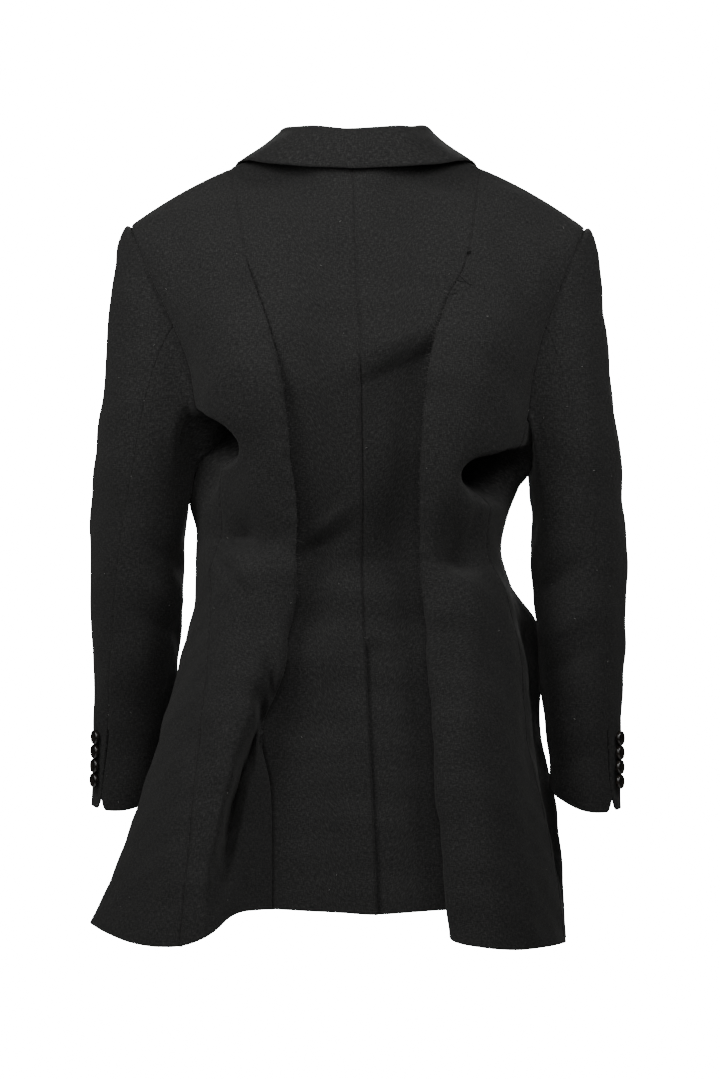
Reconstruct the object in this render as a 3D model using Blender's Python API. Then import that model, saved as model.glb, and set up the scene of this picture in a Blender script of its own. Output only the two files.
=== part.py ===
"""A deconstructed tailored blazer, worn but empty: cloth panels with open neck, cuffs and hem.

Metres. +Z is up, +Y is the wearer's front and +X the wearer's right.
The origin is the middle of the neck opening, at the height of the shoulder seams.
"""

import math
from functools import partial

import bmesh
import bpy
import numpy as np
from mathutils import Vector

# Driving sizes
WALL = 0.002
SEAM_GAP = 0.0003
LEFT, RIGHT = -1, 1
SIDE_NAMES = {LEFT: "left", RIGHT: "right"}

NECK_HALF_WIDTH = 0.085
NECK_TOP = 0.013
NECK_BACK_Z = -0.002
NECK_FADE = -0.035
NECK_QUARTER = (0.052, -0.0485, 0.004)
SHOULDER_SLOPE = 0.50
SHOULDER_BOW = 0.008
SHOULDER_LENGTH = 0.143
TOP_LEVEL = -0.005
HEM_LEVEL = -0.760
HEM_RAMP_TOP = -0.480
ARMPIT_LEVEL = -0.250
ARMPIT_DROP = 0.042
ARMPIT_RAMP = 0.090

# Loose back edges: sewn above the release, tucked under again at the join
RELEASE_LEVEL = -0.095
DIP_LENGTH = 0.016
TUCK_LENGTH = 0.030
TUCK_WIDTH = 0.018
JOIN_LEVEL = -0.500
JOIN_RISE = 0.050

# Back vent, left over right
VENT_TOP = -0.488
VENT_DIP = 0.0045
VENT_UNDERLAP = 0.70
VENT_RAMP = 0.018
VENT_REACH = 2.0

# Front opening, right over left
FRONT_OVERLAP = 0.022
BREAK_LEVEL = -0.335
LEFT_LAPEL_END = -0.250
LAY_UNDER = 0.0060
LAY_UNDER_X = (0.075, 0.028)
LAY_UNDER_Z = (-0.20, -0.27)
LAPEL_LIFT = 0.0028
LAPEL_SEAT = 0.0005
LAPEL_SEAT_SHARE = 0.4
LAPEL_TOP = -0.080
LAPEL_INSET = 0.0015
LAPEL_CLEAR = 0.004
LEFT_LAPEL_TAPER = 0.88
LEFT_LAPEL_TAPER_TOP = -0.150

# Buttons
FRONT_BUTTON_LEVEL = -0.365
FRONT_BUTTON_RADIUS = 0.011
CUFF_BUTTON_RADIUS = 0.0070
BUTTON_THICKNESS = 0.0034
BUTTON_LIFT = 0.0006
BUTTON_SEGMENTS = 20
BUTTON_FOOT = 0.82
BUTTON_RIM = 0.18
BUTTON_BEVEL = 0.14
BUTTON_DISH = 0.25
CUFF_BUTTONS = 4
CUFF_BUTTON_STEP = 0.0145
CUFF_BUTTON_FIRST = -0.617
CUFF_BUTTON_TURN = 0.080

# Cloth and button looks
CLOTH_COLOUR = (0.012, 0.012, 0.013, 1.0)
BUTTON_COLOUR = (0.010, 0.009, 0.009, 1.0)
CLOTH_ROUGHNESS = 0.9
BUTTON_ROUGHNESS = 0.3
SHARP_ANGLE = math.radians(40)

# Small steps used to find directions and to compare levels
PLACE_STEP = 0.02
LEVEL_STEP = 0.002
TOUCH = 0.001
HALVINGS = 40


def table(columns, rows):
    """Named columns of numbers, one row for each section."""
    return dict(zip(columns, np.array(rows, float).T))


# Middle of the body: how far the armhole hangs below the row, centre back and the fronts
SPINE = table(
    ("level", "arm", "back_x", "back_y", "front_x", "front_y", "centre_y"),
    [
        (-0.005, 1.00, -0.003, -0.062, 0.155, 0.000, 0.000),
        (-0.015, 0.95, -0.003, -0.068, 0.153, 0.018, 0.024),
        (-0.035, 0.84, -0.002, -0.080, 0.148, 0.046, 0.062),
        (-0.066, 0.76, -0.001, -0.093, 0.142, 0.076, 0.088),
        (-0.100, 0.64, 0.000, -0.103, 0.135, 0.096, 0.106),
        (-0.150, 0.45, 0.003, -0.112, 0.125, 0.112, 0.122),
        (-0.200, 0.24, 0.005, -0.115, 0.115, 0.121, 0.130),
        (-0.250, 0.05, 0.006, -0.112, 0.108, 0.123, 0.131),
        (-0.290, 0.00, 0.007, -0.106, 0.104, 0.119, 0.127),
        (-0.340, 0.00, 0.007, -0.095, 0.100, 0.109, 0.116),
        (-0.385, 0.00, 0.007, -0.085, 0.096, 0.101, 0.108),
        (-0.440, 0.00, 0.008, -0.088, 0.104, 0.111, 0.118),
        (-0.500, 0.00, 0.011, -0.100, 0.114, 0.125, 0.132),
        (-0.560, 0.00, 0.014, -0.113, 0.122, 0.137, 0.145),
        (-0.630, 0.00, 0.017, -0.126, 0.132, 0.149, 0.157),
        (-0.700, 0.00, 0.020, -0.138, 0.140, 0.159, 0.167),
        (-0.760, 0.00, 0.022, -0.147, 0.145, 0.165, 0.173),
    ],
)

# Each side, outward from the middle: loose back edge, fold, flute, side-back seam or armhole,
# widest point and front seam or armhole
SIDE_COLUMNS = (
    "level", "edge_x", "edge_y", "fold_x", "fold_y", "mid_x", "mid_y",
    "seam_x", "seam_y", "side_x", "side_y", "fseam_x", "fseam_y",
)
SIDES = {
    LEFT: table(
        SIDE_COLUMNS,
        [
            (-0.005, 0.126, 0.000, 0.141, 0.000, 0.178, 0.000, 0.228, 0.000, 0.250, 0.000, 0.228, 0.000),
            (-0.015, 0.124, -0.014, 0.139, -0.014, 0.176, -0.015, 0.226, -0.018, 0.248, 0.000, 0.226, 0.018),
            (-0.035, 0.120, -0.037, 0.134, -0.038, 0.170, -0.038, 0.220, -0.033, 0.240, 0.000, 0.220, 0.033),
            (-0.066, 0.115, -0.067, 0.129, -0.067, 0.163, -0.063, 0.209, -0.046, 0.232, 0.000, 0.209, 0.046),
            (-0.100, 0.109, -0.091, 0.123, -0.090, 0.155, -0.083, 0.196, -0.055, 0.220, 0.000, 0.196, 0.054),
            (-0.150, 0.091, -0.116, 0.107, -0.116, 0.142, -0.107, 0.177, -0.063, 0.203, 0.000, 0.177, 0.061),
            (-0.200, 0.077, -0.128, 0.092, -0.129, 0.130, -0.117, 0.160, -0.067, 0.180, 0.000, 0.163, 0.062),
            (-0.250, 0.069, -0.128, 0.084, -0.129, 0.120, -0.113, 0.149, -0.064, 0.157, -0.004, 0.150, 0.054),
            (-0.290, 0.065, -0.124, 0.080, -0.124, 0.111, -0.107, 0.139, -0.062, 0.154, -0.008, 0.147, 0.050),
            (-0.340, 0.059, -0.115, 0.075, -0.115, 0.107, -0.099, 0.137, -0.060, 0.159, -0.008, 0.144, 0.052),
            (-0.385, 0.059, -0.107, 0.073, -0.108, 0.108, -0.093, 0.141, -0.058, 0.159, -0.008, 0.140, 0.050),
            (-0.440, 0.060, -0.108, 0.068, -0.111, 0.110, -0.106, 0.144, -0.076, 0.163, -0.014, 0.144, 0.056),
            (-0.500, 0.074, -0.104, 0.069, -0.119, 0.107, -0.131, 0.148, -0.111, 0.178, -0.034, 0.154, 0.056),
            (-0.560, 0.094, -0.100, 0.095, -0.128, 0.122, -0.153, 0.155, -0.142, 0.193, -0.056, 0.160, 0.050),
            (-0.630, 0.084, -0.116, 0.112, -0.142, 0.138, -0.176, 0.161, -0.171, 0.215, -0.076, 0.166, 0.042),
            (-0.700, 0.082, -0.132, 0.117, -0.158, 0.143, -0.194, 0.164, -0.192, 0.240, -0.090, 0.176, 0.040),
            (-0.760, 0.082, -0.142, 0.117, -0.170, 0.145, -0.206, 0.168, -0.206, 0.267, -0.100, 0.188, 0.040),
        ],
    ),
    RIGHT: table(
        SIDE_COLUMNS,
        [
            (-0.005, 0.124, 0.000, 0.139, 0.000, 0.178, 0.000, 0.232, 0.000, 0.254, 0.000, 0.232, 0.000),
            (-0.015, 0.123, -0.014, 0.138, -0.014, 0.176, -0.015, 0.229, -0.018, 0.252, 0.000, 0.229, 0.018),
            (-0.035, 0.121, -0.037, 0.135, -0.038, 0.172, -0.038, 0.223, -0.033, 0.244, 0.000, 0.223, 0.033),
            (-0.066, 0.117, -0.067, 0.131, -0.067, 0.165, -0.063, 0.211, -0.046, 0.235, 0.000, 0.211, 0.046),
            (-0.100, 0.110, -0.091, 0.124, -0.090, 0.157, -0.083, 0.200, -0.055, 0.224, 0.000, 0.200, 0.054),
            (-0.150, 0.086, -0.116, 0.102, -0.117, 0.144, -0.107, 0.186, -0.063, 0.209, 0.000, 0.184, 0.061),
            (-0.200, 0.073, -0.128, 0.088, -0.129, 0.134, -0.118, 0.177, -0.067, 0.193, 0.000, 0.172, 0.063),
            (-0.250, 0.067, -0.128, 0.082, -0.129, 0.126, -0.114, 0.169, -0.064, 0.171, -0.004, 0.160, 0.056),
            (-0.290, 0.064, -0.124, 0.079, -0.124, 0.114, -0.108, 0.150, -0.064, 0.160, -0.004, 0.152, 0.052),
            (-0.340, 0.063, -0.115, 0.077, -0.115, 0.102, -0.102, 0.130, -0.072, 0.156, 0.000, 0.146, 0.054),
            (-0.385, 0.064, -0.107, 0.075, -0.108, 0.103, -0.096, 0.130, -0.068, 0.147, 0.004, 0.140, 0.052),
            (-0.440, 0.066, -0.108, 0.070, -0.112, 0.112, -0.104, 0.152, -0.058, 0.160, 0.006, 0.162, 0.054),
            (-0.500, 0.088, -0.100, 0.071, -0.122, 0.111, -0.124, 0.168, -0.056, 0.170, 0.006, 0.181, 0.062),
            (-0.560, 0.098, -0.106, 0.076, -0.136, 0.113, -0.143, 0.180, -0.060, 0.175, 0.004, 0.186, 0.068),
            (-0.630, 0.100, -0.118, 0.081, -0.150, 0.118, -0.162, 0.190, -0.068, 0.182, 0.002, 0.202, 0.070),
            (-0.700, 0.102, -0.130, 0.087, -0.163, 0.125, -0.177, 0.202, -0.076, 0.192, 0.000, 0.212, 0.070),
            (-0.760, 0.104, -0.140, 0.091, -0.173, 0.130, -0.187, 0.212, -0.082, 0.198, 0.000, 0.213, 0.070),
        ],
    ),
}

# Height of the hem at each station
STATIONS = ("edge", "fold", "mid", "seam", "side", "fseam", "front", "centre", "across")
HEM = {
    LEFT: np.array((-0.740, -0.743, -0.764, -0.773, -0.754, -0.754, -0.750, -0.750, -0.750)),
    RIGHT: np.array((-0.740, -0.768, -0.777, -0.775, -0.777, -0.777, -0.752, -0.750, -0.750)),
}
HEM_BACK = -0.7455
EDGE, FOLD, MID, SEAM, SIDE, FRONT_SEAM, FRONT, CENTRE, ACROSS = range(9)

# Stations of the centre back, and where its columns and the other panels' columns lie
CENTRE_MIDDLE = 3
CENTRE_ENDS = {LEFT: 0, RIGHT: 6}
CENTRE_HALF_SHARE = 0.58
CENTRE_INNER_SHARE = 0.30
CENTRE_COLUMNS = 9
BACK_SIDE_PLACES = (0.0, 0.5, 1.0, 1.33, 1.67, 2.0, 2.25, 2.5, 2.75, 3.0)
SIDE_POINTS = 7
FRONT_COLUMNS = 9

# How far the centre back lies behind the loose edges
LIFT = table(
    ("level", "lift"),
    [
        (-0.095, 0.000), (-0.111, 0.004), (-0.150, 0.009), (-0.200, 0.013), (-0.290, 0.018),
        (-0.385, 0.020), (-0.440, 0.018), (-0.480, 0.010), (-0.500, 0.000), (-0.560, 0.000), (-0.760, 0.000),
    ],
)

# Largest folds of the cloth, on the back only: middle, half-length and half-height, lean and depth inward
FOLD_BACK_Y = (-0.020, -0.058)
FOLDS = {
    LEFT: table(
        ("x", "z", "half_x", "half_z", "lean", "depth"),
        [
            (0.138, -0.274, 0.021, 0.018, -0.3, 0.030),
            (0.108, -0.370, 0.040, 0.012, 0.1, 0.008),
            (0.110, -0.402, 0.045, 0.016, 0.0, -0.006),
        ],
    ),
    RIGHT: table(
        ("x", "z", "half_x", "half_z", "lean", "depth"),
        [
            (0.142, -0.302, 0.028, 0.020, 0.1, 0.025),
            (0.112, -0.380, 0.040, 0.012, -0.2, 0.008),
            (0.112, -0.412, 0.040, 0.016, -0.2, -0.006),
        ],
    ),
}

# Sleeve tubes: middle and half-sizes at each height
SLEEVES = {
    LEFT: table(
        ("z", "x", "y", "half_x", "half_y"),
        [
            (-0.060, 0.178, 0.000, 0.060, 0.046),
            (-0.135, 0.193, 0.000, 0.054, 0.064),
            (-0.235, 0.204, 0.002, 0.052, 0.070),
            (-0.300, 0.2125, 0.006, 0.0505, 0.067),
            (-0.365, 0.2190, 0.012, 0.0480, 0.062),
            (-0.435, 0.2205, 0.022, 0.0465, 0.057),
            (-0.485, 0.2220, 0.031, 0.0440, 0.054),
            (-0.535, 0.2245, 0.042, 0.0405, 0.050),
            (-0.595, 0.2285, 0.055, 0.0375, 0.046),
            (-0.655, 0.2320, 0.066, 0.0360, 0.044),
        ],
    ),
    RIGHT: table(
        ("z", "x", "y", "half_x", "half_y"),
        [
            (-0.060, 0.181, 0.000, 0.060, 0.046),
            (-0.135, 0.195, 0.000, 0.054, 0.064),
            (-0.235, 0.207, 0.000, 0.052, 0.070),
            (-0.300, 0.2165, 0.001, 0.0500, 0.067),
            (-0.365, 0.2225, 0.002, 0.0485, 0.062),
            (-0.435, 0.2250, 0.002, 0.0470, 0.057),
            (-0.485, 0.2265, 0.001, 0.0440, 0.053),
            (-0.535, 0.2275, 0.000, 0.0410, 0.049),
            (-0.595, 0.2300, -0.002, 0.0370, 0.045),
            (-0.655, 0.2320, -0.004, 0.0350, 0.043),
        ],
    ),
}

# Sleeve seams as turns from the outermost line, going round by the back
SEAM_TURNS = table(
    ("z", "hind", "fore"),
    [
        (-0.300, 0.215, 0.640),
        (-0.395, 0.186, 0.640),
        (-0.485, 0.158, 0.645),
        (-0.555, 0.148, 0.650),
        (-0.650, 0.122, 0.655),
    ],
)
SLEEVE_ROWS = (0.0, 0.008, 0.02, 0.042, 0.08, 0.13, 0.20, 0.29, 0.39, 0.50, 0.62, 0.74, 0.85, 0.94, 1.0)
CUFF = table(("turn", "z"), [(0.0, -0.643), (0.25, -0.647), (0.5, -0.624), (0.75, -0.630), (1.0, -0.643)])
CUFF_CORNER = 0.014
CUFF_CORNER_TURN = 0.035
HEAD_DECAY = 0.055
HEAD_TOP_DECAY = 0.009
HEAD_ROPE = 0.0025
HEAD_ROPE_AT = 0.006
HEAD_TOP_Z = (-0.120, -0.062)
HEAD_NORMAL_Z = (-0.150, -0.095)
SLEEVE_SETTLE = 0.45
CUFF_HEIGHT = -0.650
HIND_INDEX = 7
FORE_INDEX = 21

# Collar: neck seam, fold and outer edge from the middle of the back to the notch
COLLAR = table(
    ("part", "seam_x", "seam_y", "seam_z", "fold_x", "fold_y", "fold_z", "edge_x", "edge_y", "edge_z"),
    [
        (0.0, 0.000, -0.0620, 0.0000, 0.000, -0.056, 0.036, 0.000, -0.0720, -0.005),
        (1.0, 0.052, -0.0480, 0.0095, 0.046, -0.043, 0.037, 0.070, -0.0560, -0.001),
        (2.0, 0.085, 0.0000, 0.0165, 0.073, 0.000, 0.037, 0.115, -0.0040, 0.009),
        (3.0, 0.084, 0.0380, -0.0050, 0.071, 0.044, 0.016, 0.119, 0.0540, -0.012),
        (4.0, 0.073, 0.0830, -0.0480, 0.064, 0.097, -0.032, 0.107, 0.1000, -0.056),
    ],
)
COLLAR_ROWS = 33
COLLAR_PLACES = (0.0, 0.5, 1.0, 1.5, 2.0, 2.5, 3.0, 3.33, 3.67, 4.0)
COLLAR_ROLL = 0.005
COLLAR_END = 3.7
COLLAR_SHOULDER = 2.0
COLLAR_FRONT_STEP = -0.036
NECK_LIFT = 0.003

# Lapel width from the roll line, from the top of the gorge down
LAPEL = table(
    ("level", "width"),
    [(-0.080, 0.046), (-0.098, 0.074), (-0.150, 0.064), (-0.250, 0.034), (-0.335, 0.005)],
)
LAPEL_ROWS = 15
LAPEL_COLUMNS = 7


def smooth_curve(knots, values, at):
    """Read a smooth curve through rows of values; knots rise and at may have any shape."""
    knots = np.asarray(knots, float)
    values = np.asarray(values, float)
    at = np.asarray(at, float)
    steps = np.diff(knots)
    slopes = np.diff(values) / steps
    tangents = np.empty_like(values)
    tangents[0] = slopes[0]
    tangents[-1] = slopes[-1]
    tangents[1:-1] = (slopes[:-1] * steps[1:] + slopes[1:] * steps[:-1]) / (steps[1:] + steps[:-1])
    span = np.clip(np.searchsorted(knots, at) - 1, 0, len(steps) - 1)
    t = (at - knots[span]) / steps[span]
    leave = tangents[span] * steps[span]
    arrive = tangents[span + 1] * steps[span]
    return hermite(t, values[span], values[span + 1], leave, arrive)


def hermite(t, start, end, leave, arrive):
    """A cubic from start to end with the given tangents."""
    square = t * t
    cube = square * t
    return (
        (2 * cube - 3 * square + 1) * start + (cube - 2 * square + t) * leave
        + (3 * square - 2 * cube) * end + (cube - square) * arrive
    )


def column(rows, name, level):
    """One column of a level table, read smoothly at any level."""
    return smooth_curve(-rows["level"], rows[name], -np.asarray(level, float))


def ramp(value, start, end):
    """A soft step from 0 at start to 1 at end."""
    t = np.clip((value - start) / (end - start), 0.0, 1.0)
    return t * t * (3 - 2 * t)


def shoulder_z(x):
    """Height of the shoulder seam at a distance from the middle."""
    along = (x - NECK_HALF_WIDTH) / SHOULDER_LENGTH
    bow = SHOULDER_BOW * np.clip(4 * along * (1 - along), 0.0, 1.0)
    return NECK_TOP - SHOULDER_SLOPE * (x - NECK_HALF_WIDTH) + bow


def unit(vectors):
    return vectors / np.linalg.norm(vectors, axis=-1, keepdims=True)


def along_stations(stations, places):
    """Points on the smooth line through each row's stations, at fractional station numbers."""
    legs = np.diff(stations, axis=1)
    lengths = np.linalg.norm(legs, axis=2)
    slopes = legs / lengths[..., None]
    tangents = np.empty_like(stations)
    tangents[:, 0] = slopes[:, 0]
    tangents[:, -1] = slopes[:, -1]
    before, after = lengths[:, :-1, None], lengths[:, 1:, None]
    tangents[:, 1:-1] = (slopes[:, :-1] * after + slopes[:, 1:] * before) / (before + after)
    span = np.clip(np.floor(places).astype(int), 0, stations.shape[1] - 2)
    t = (places - span)[..., None]
    row = np.arange(len(stations))[:, None]
    length = lengths[row, span][..., None]
    return hermite(
        t, stations[row, span], stations[row, span + 1],
        tangents[row, span] * length, tangents[row, span + 1] * length,
    )


def side_stations(side, levels):
    """The stations of one side at each level, from the loose back edge round to the front."""
    rows = SIDES[side]
    arm = column(SPINE, "arm", levels)
    below = ramp(levels, HEM_RAMP_TOP, HEM_LEVEL)
    armpit = ARMPIT_DROP * (1 - ramp(levels, ARMPIT_LEVEL, ARMPIT_LEVEL - ARMPIT_RAMP))
    points = np.empty((len(levels), len(STATIONS), 3))
    for number, name in enumerate(STATIONS):
        if name in ("front", "across"):
            turned = -1 if name == "across" else 1
            x, y = turned * column(SPINE, "front_x", levels), column(SPINE, "front_y", levels)
            top_x = x
        elif name == "centre":
            x, y = 0 * levels, column(SPINE, "centre_y", levels)
            top_x = x
        else:
            x, y = column(rows, name + "_x", levels), column(rows, name + "_y", levels)
            top_x = column(rows, name + "_x", TOP_LEVEL)
        drop = -armpit if name == "side" else arm * (shoulder_z(top_x) - TOP_LEVEL)
        z = levels + drop + below * (HEM[side][number] - HEM_LEVEL)
        points[:, number] = np.stack((side * x, y, z), axis=1)
    return points


def fold_depth(side, points):
    """How far the large folds push the cloth in at each point."""
    rows = FOLDS[side]
    depth = np.zeros(points.shape[:-1])
    behind = ramp(points[..., 1], *FOLD_BACK_Y)
    for x, z, half_x, half_z, lean, push in zip(*(rows[name] for name in rows)):
        along = side * points[..., 0] - x
        across = points[..., 2] - z - lean * along
        depth += push * np.exp(-((along / half_x) ** 2) - (across / half_z) ** 2)
    return depth * behind


def side_surface(side, places, levels):
    """Outer surface of the side-back, side and front panels with their large folds."""
    high = np.minimum(levels + LEVEL_STEP, TOP_LEVEL)
    low = np.maximum(levels - LEVEL_STEP, HEM_LEVEL)
    points = along_stations(side_stations(side, levels), places)
    across = along_stations(side_stations(side, levels), places + PLACE_STEP)
    across -= along_stations(side_stations(side, levels), places - PLACE_STEP)
    upward = along_stations(side_stations(side, high), places)
    upward -= along_stations(side_stations(side, low), places)
    outward = side * unit(np.cross(across, upward))
    return points - outward * fold_depth(side, points)[..., None]


def grid_normals(surface, places, levels, turn):
    """Outward directions of a surface function, the same on both sides of a seam."""
    across = surface(places + PLACE_STEP, levels) - surface(places - PLACE_STEP, levels)
    high = np.minimum(levels + LEVEL_STEP, TOP_LEVEL)
    low = np.maximum(levels - LEVEL_STEP, HEM_LEVEL)
    upward = surface(places, high) - surface(places, low)
    return turn * unit(np.cross(across, upward))


def tuck_stations(side, levels):
    """Outer end of the centre back: sewn to the side back or lying under its loose edge."""
    released = RELEASE_LEVEL - DIP_LENGTH
    free = ramp(levels, released, released - TUCK_LENGTH) * ramp(levels, JOIN_LEVEL, JOIN_LEVEL + TUCK_LENGTH)
    lift = np.maximum(column(LIFT, "lift", levels), 0.0) * ramp(levels, JOIN_LEVEL, JOIN_LEVEL + JOIN_RISE)
    lift = np.where(levels > RELEASE_LEVEL, 0.0, lift)
    tuck = side_stations(side, levels)[:, EDGE]
    tuck[:, 0] += side * (TUCK_WIDTH * free)
    tuck[:, 1] += lift
    return tuck


def centre_stations(levels):
    """Centre back from the left end over the middle to the right end."""
    below = ramp(levels, HEM_RAMP_TOP, HEM_LEVEL)
    neck = ramp(levels, NECK_FADE, TOP_LEVEL)[:, None]
    middle = np.stack((column(SPINE, "back_x", levels), column(SPINE, "back_y", levels), levels), axis=1)
    middle[:, 2] += (NECK_BACK_Z - TOP_LEVEL) * neck[:, 0] + below * (HEM_BACK - HEM_LEVEL)
    line = []
    for side in (LEFT, RIGHT):
        end = tuck_stations(side, levels)
        half = middle + CENTRE_HALF_SHARE * (end - middle)
        inner = middle + CENTRE_INNER_SHARE * (end - middle)
        corner = np.array((side * NECK_HALF_WIDTH, 0.0, NECK_TOP))
        quarter = np.array(NECK_QUARTER) * (side, 1, 1)
        line.append((end, half * (1 - neck) + corner * neck, inner * (1 - neck) + quarter * neck))
    left_line, right_line = line
    return np.stack((*left_line, middle, *right_line[::-1]), axis=1)


def centre_surface(places, levels):
    return along_stations(centre_stations(levels), places)


def cloth_solid(name, outer, normals, material):
    """A wall of cloth: a grid shaped to the outer points, extruded inward by the wall."""
    rows, columns = outer.shape[:2]
    mesh = bmesh.new()
    bmesh.ops.create_grid(mesh, x_segments=columns - 1, y_segments=rows - 1, size=1.0)
    inner = outer - normals * WALL
    numbers = {}
    for vertex in mesh.verts:
        across = round((vertex.co.x + 1) / 2 * (columns - 1))
        down = round((vertex.co.y + 1) / 2 * (rows - 1))
        numbers[vertex] = (down, across)
    made = bmesh.ops.extrude_face_region(mesh, geom=mesh.faces[:], use_keep_orig=True)
    raised = [part for part in made["geom"] if isinstance(part, bmesh.types.BMVert)]
    for vertex in raised:
        across = round((vertex.co.x + 1) / 2 * (columns - 1))
        down = round((vertex.co.y + 1) / 2 * (rows - 1))
        vertex.co = inner[down, across]
    for vertex, (down, across) in numbers.items():
        vertex.co = outer[down, across]
    bmesh.ops.recalc_face_normals(mesh, faces=mesh.faces[:])
    if mesh.calc_volume(signed=True) < 0:
        bmesh.ops.reverse_faces(mesh, faces=mesh.faces[:])
    return add_object(name, mesh, material)


def add_object(name, mesh, material):
    data = bpy.data.meshes.new(name)
    mesh.to_mesh(data)
    mesh.free()
    data.shade_smooth()
    data.set_sharp_from_angle(angle=SHARP_ANGLE)
    data.materials.append(material)
    made = bpy.data.objects.new(name, data)
    bpy.context.scene.collection.objects.link(made)
    return made


def draw_in(outer, first_row=False, last_row=False, first_column=False, last_column=False):
    """Leave half a seam gap along the named borders."""
    half = SEAM_GAP / 2
    points = outer.copy()
    if first_row:
        points[0] += unit(outer[1] - outer[0]) * half
    if last_row:
        points[-1] += unit(outer[-2] - outer[-1]) * half
    if first_column:
        points[:, 0] += unit(outer[:, 1] - outer[:, 0]) * half
    if last_column:
        points[:, -1] += unit(outer[:, -2] - outer[:, -1]) * half
    return points


def shoulder_normal(side):
    return np.array((side * SHOULDER_SLOPE, 0.0, 1.0)) / math.hypot(SHOULDER_SLOPE, 1.0)


def make_material(name, colour, roughness):
    material = bpy.data.materials.new(name)
    material.use_nodes = True
    shader = material.node_tree.nodes["Principled BSDF"]
    shader.inputs["Base Color"].default_value = colour
    shader.inputs["Roughness"].default_value = roughness
    return material


# Levels of the grid rows, with more of them where the edges come free
ARM_LEVELS = np.array((
    -0.005, -0.015, -0.030, -0.048, -0.070, -0.090, -0.111, -0.135, -0.160, -0.185, -0.208, -0.230, -0.250,
))
LOW_LEVELS = np.array((
    -0.264, -0.278, -0.292, -0.308, -0.325, -0.345, -0.362, -0.376, -0.390, -0.408, -0.430, -0.452, -0.470,
    -0.488, -0.506, -0.530, -0.558, -0.590, -0.625, -0.665, -0.705, -0.738, -0.760,
))
LEVELS = np.concatenate((ARM_LEVELS, LOW_LEVELS))
ARM_ROWS = len(ARM_LEVELS)


def spread(start, end, count, rows):
    """The same fractional stations on every row."""
    return np.tile(np.linspace(start, end, count), (rows, 1))


def sewn_back_normals(side):
    """Shared directions along the sewn part of the back seam and where it comes free."""
    edges = np.full((len(LEVELS), 1), EDGE + PLACE_STEP)
    flank = grid_normals(partial(side_surface, side), edges, LEVELS, side)
    ends = np.full((len(LEVELS), 1), CENTRE_ENDS[side] - side * PLACE_STEP)
    middle = grid_normals(centre_surface, ends, LEVELS, 1)
    return unit(flank + middle)[:, 0]


def back_side_panel(side, material):
    places = np.tile(BACK_SIDE_PLACES, (len(LEVELS), 1))
    surface = partial(side_surface, side)
    normals = grid_normals(surface, places, LEVELS, side)
    sewn = LEVELS > RELEASE_LEVEL - TOUCH
    normals[sewn, 0] = sewn_back_normals(side)[sewn]
    normals[0] = shoulder_normal(side)
    outer = draw_in(surface(places, LEVELS), first_row=True, first_column=True, last_column=True)
    return cloth_solid("back_side_" + SIDE_NAMES[side], outer, normals, material)


def back_centre_panel(side, material):
    """One half of the centre back; the right one goes on under the left one at the vent."""
    start = np.full((len(LEVELS), 1), float(CENTRE_MIDDLE))
    dip = np.zeros((len(LEVELS), 1))
    if side == RIGHT:
        start = start - VENT_UNDERLAP * ramp(LEVELS, VENT_TOP, VENT_TOP - VENT_RAMP)[:, None]
        dip = VENT_DIP * ramp(LEVELS, VENT_TOP + VENT_RAMP, VENT_TOP)[:, None]
    places = start + (CENTRE_ENDS[side] - start) * np.linspace(0.0, 1.0, CENTRE_COLUMNS)
    normals = grid_normals(centre_surface, places, LEVELS, 1)
    sewn = LEVELS > RELEASE_LEVEL - TOUCH
    normals[sewn, -1] = sewn_back_normals(side)[sewn]
    outer = centre_surface(places, LEVELS)
    outer[0, :, 1] = np.minimum(outer[0, :, 1], 0.0)
    on_shoulder = side * outer[0, :, 0] > NECK_HALF_WIDTH - TOUCH
    normals[0, on_shoulder] = shoulder_normal(side)
    outer = draw_in(outer, first_row=True, first_column=True, last_column=True)
    near = np.clip((places - CENTRE_MIDDLE) / VENT_REACH, 0.0, 1.0)
    outer -= normals * (dip * (1 - near) ** 2)[..., None]
    return cloth_solid("back_centre_" + SIDE_NAMES[side], outer, normals, material)


def side_panel(side, material):
    levels = np.concatenate((ARM_LEVELS[-1:], LOW_LEVELS))
    places = spread(SEAM, FRONT_SEAM, SIDE_POINTS, len(levels))
    surface = partial(side_surface, side)
    outer = draw_in(surface(places, levels), first_column=True, last_column=True)
    normals = grid_normals(surface, places, levels, side)
    return cloth_solid("side_" + SIDE_NAMES[side], outer, normals, material)


def roll_x(level):
    """Distance of the roll line or front edge from the middle, on the panel's own side."""
    fall = np.clip((TOP_LEVEL - level) / (TOP_LEVEL - BREAK_LEVEL), 0.0, 1.0)
    return NECK_HALF_WIDTH + (-FRONT_OVERLAP - NECK_HALF_WIDTH) * fall


def front_places(side, levels, target):
    """Fractional stations at which the front reaches the given distances from the middle."""
    low = np.full(target.shape, float(FRONT_SEAM))
    high = np.full(target.shape, float(ACROSS))
    for _ in range(HALVINGS):
        half = (low + high) / 2
        reached = side * along_stations(side_stations(side, levels), half)[..., 0]
        low = np.where(reached > target, half, low)
        high = np.where(reached > target, high, half)
    return (low + high) / 2


def front_surface(side, places, levels):
    """The front; the left one lies under the right one where they lap."""
    points = side_surface(side, places, levels)
    if side == LEFT:
        lapped = ramp(-points[..., 0], *LAY_UNDER_X) * ramp(points[..., 2], *LAY_UNDER_Z)
        points[..., 1] -= LAY_UNDER * lapped
    return points


def front_panel(side, material):
    edge = front_places(side, LEVELS, roll_x(LEVELS)[:, None])
    places = FRONT_SEAM + (edge - FRONT_SEAM) * np.linspace(0.0, 1.0, FRONT_COLUMNS)
    surface = partial(front_surface, side)
    normals = grid_normals(surface, places, LEVELS, side)
    normals[0] = shoulder_normal(side)
    outer = draw_in(surface(places, LEVELS), first_row=True, first_column=True)
    return cloth_solid("front_" + SIDE_NAMES[side], outer, normals, material)


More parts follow.
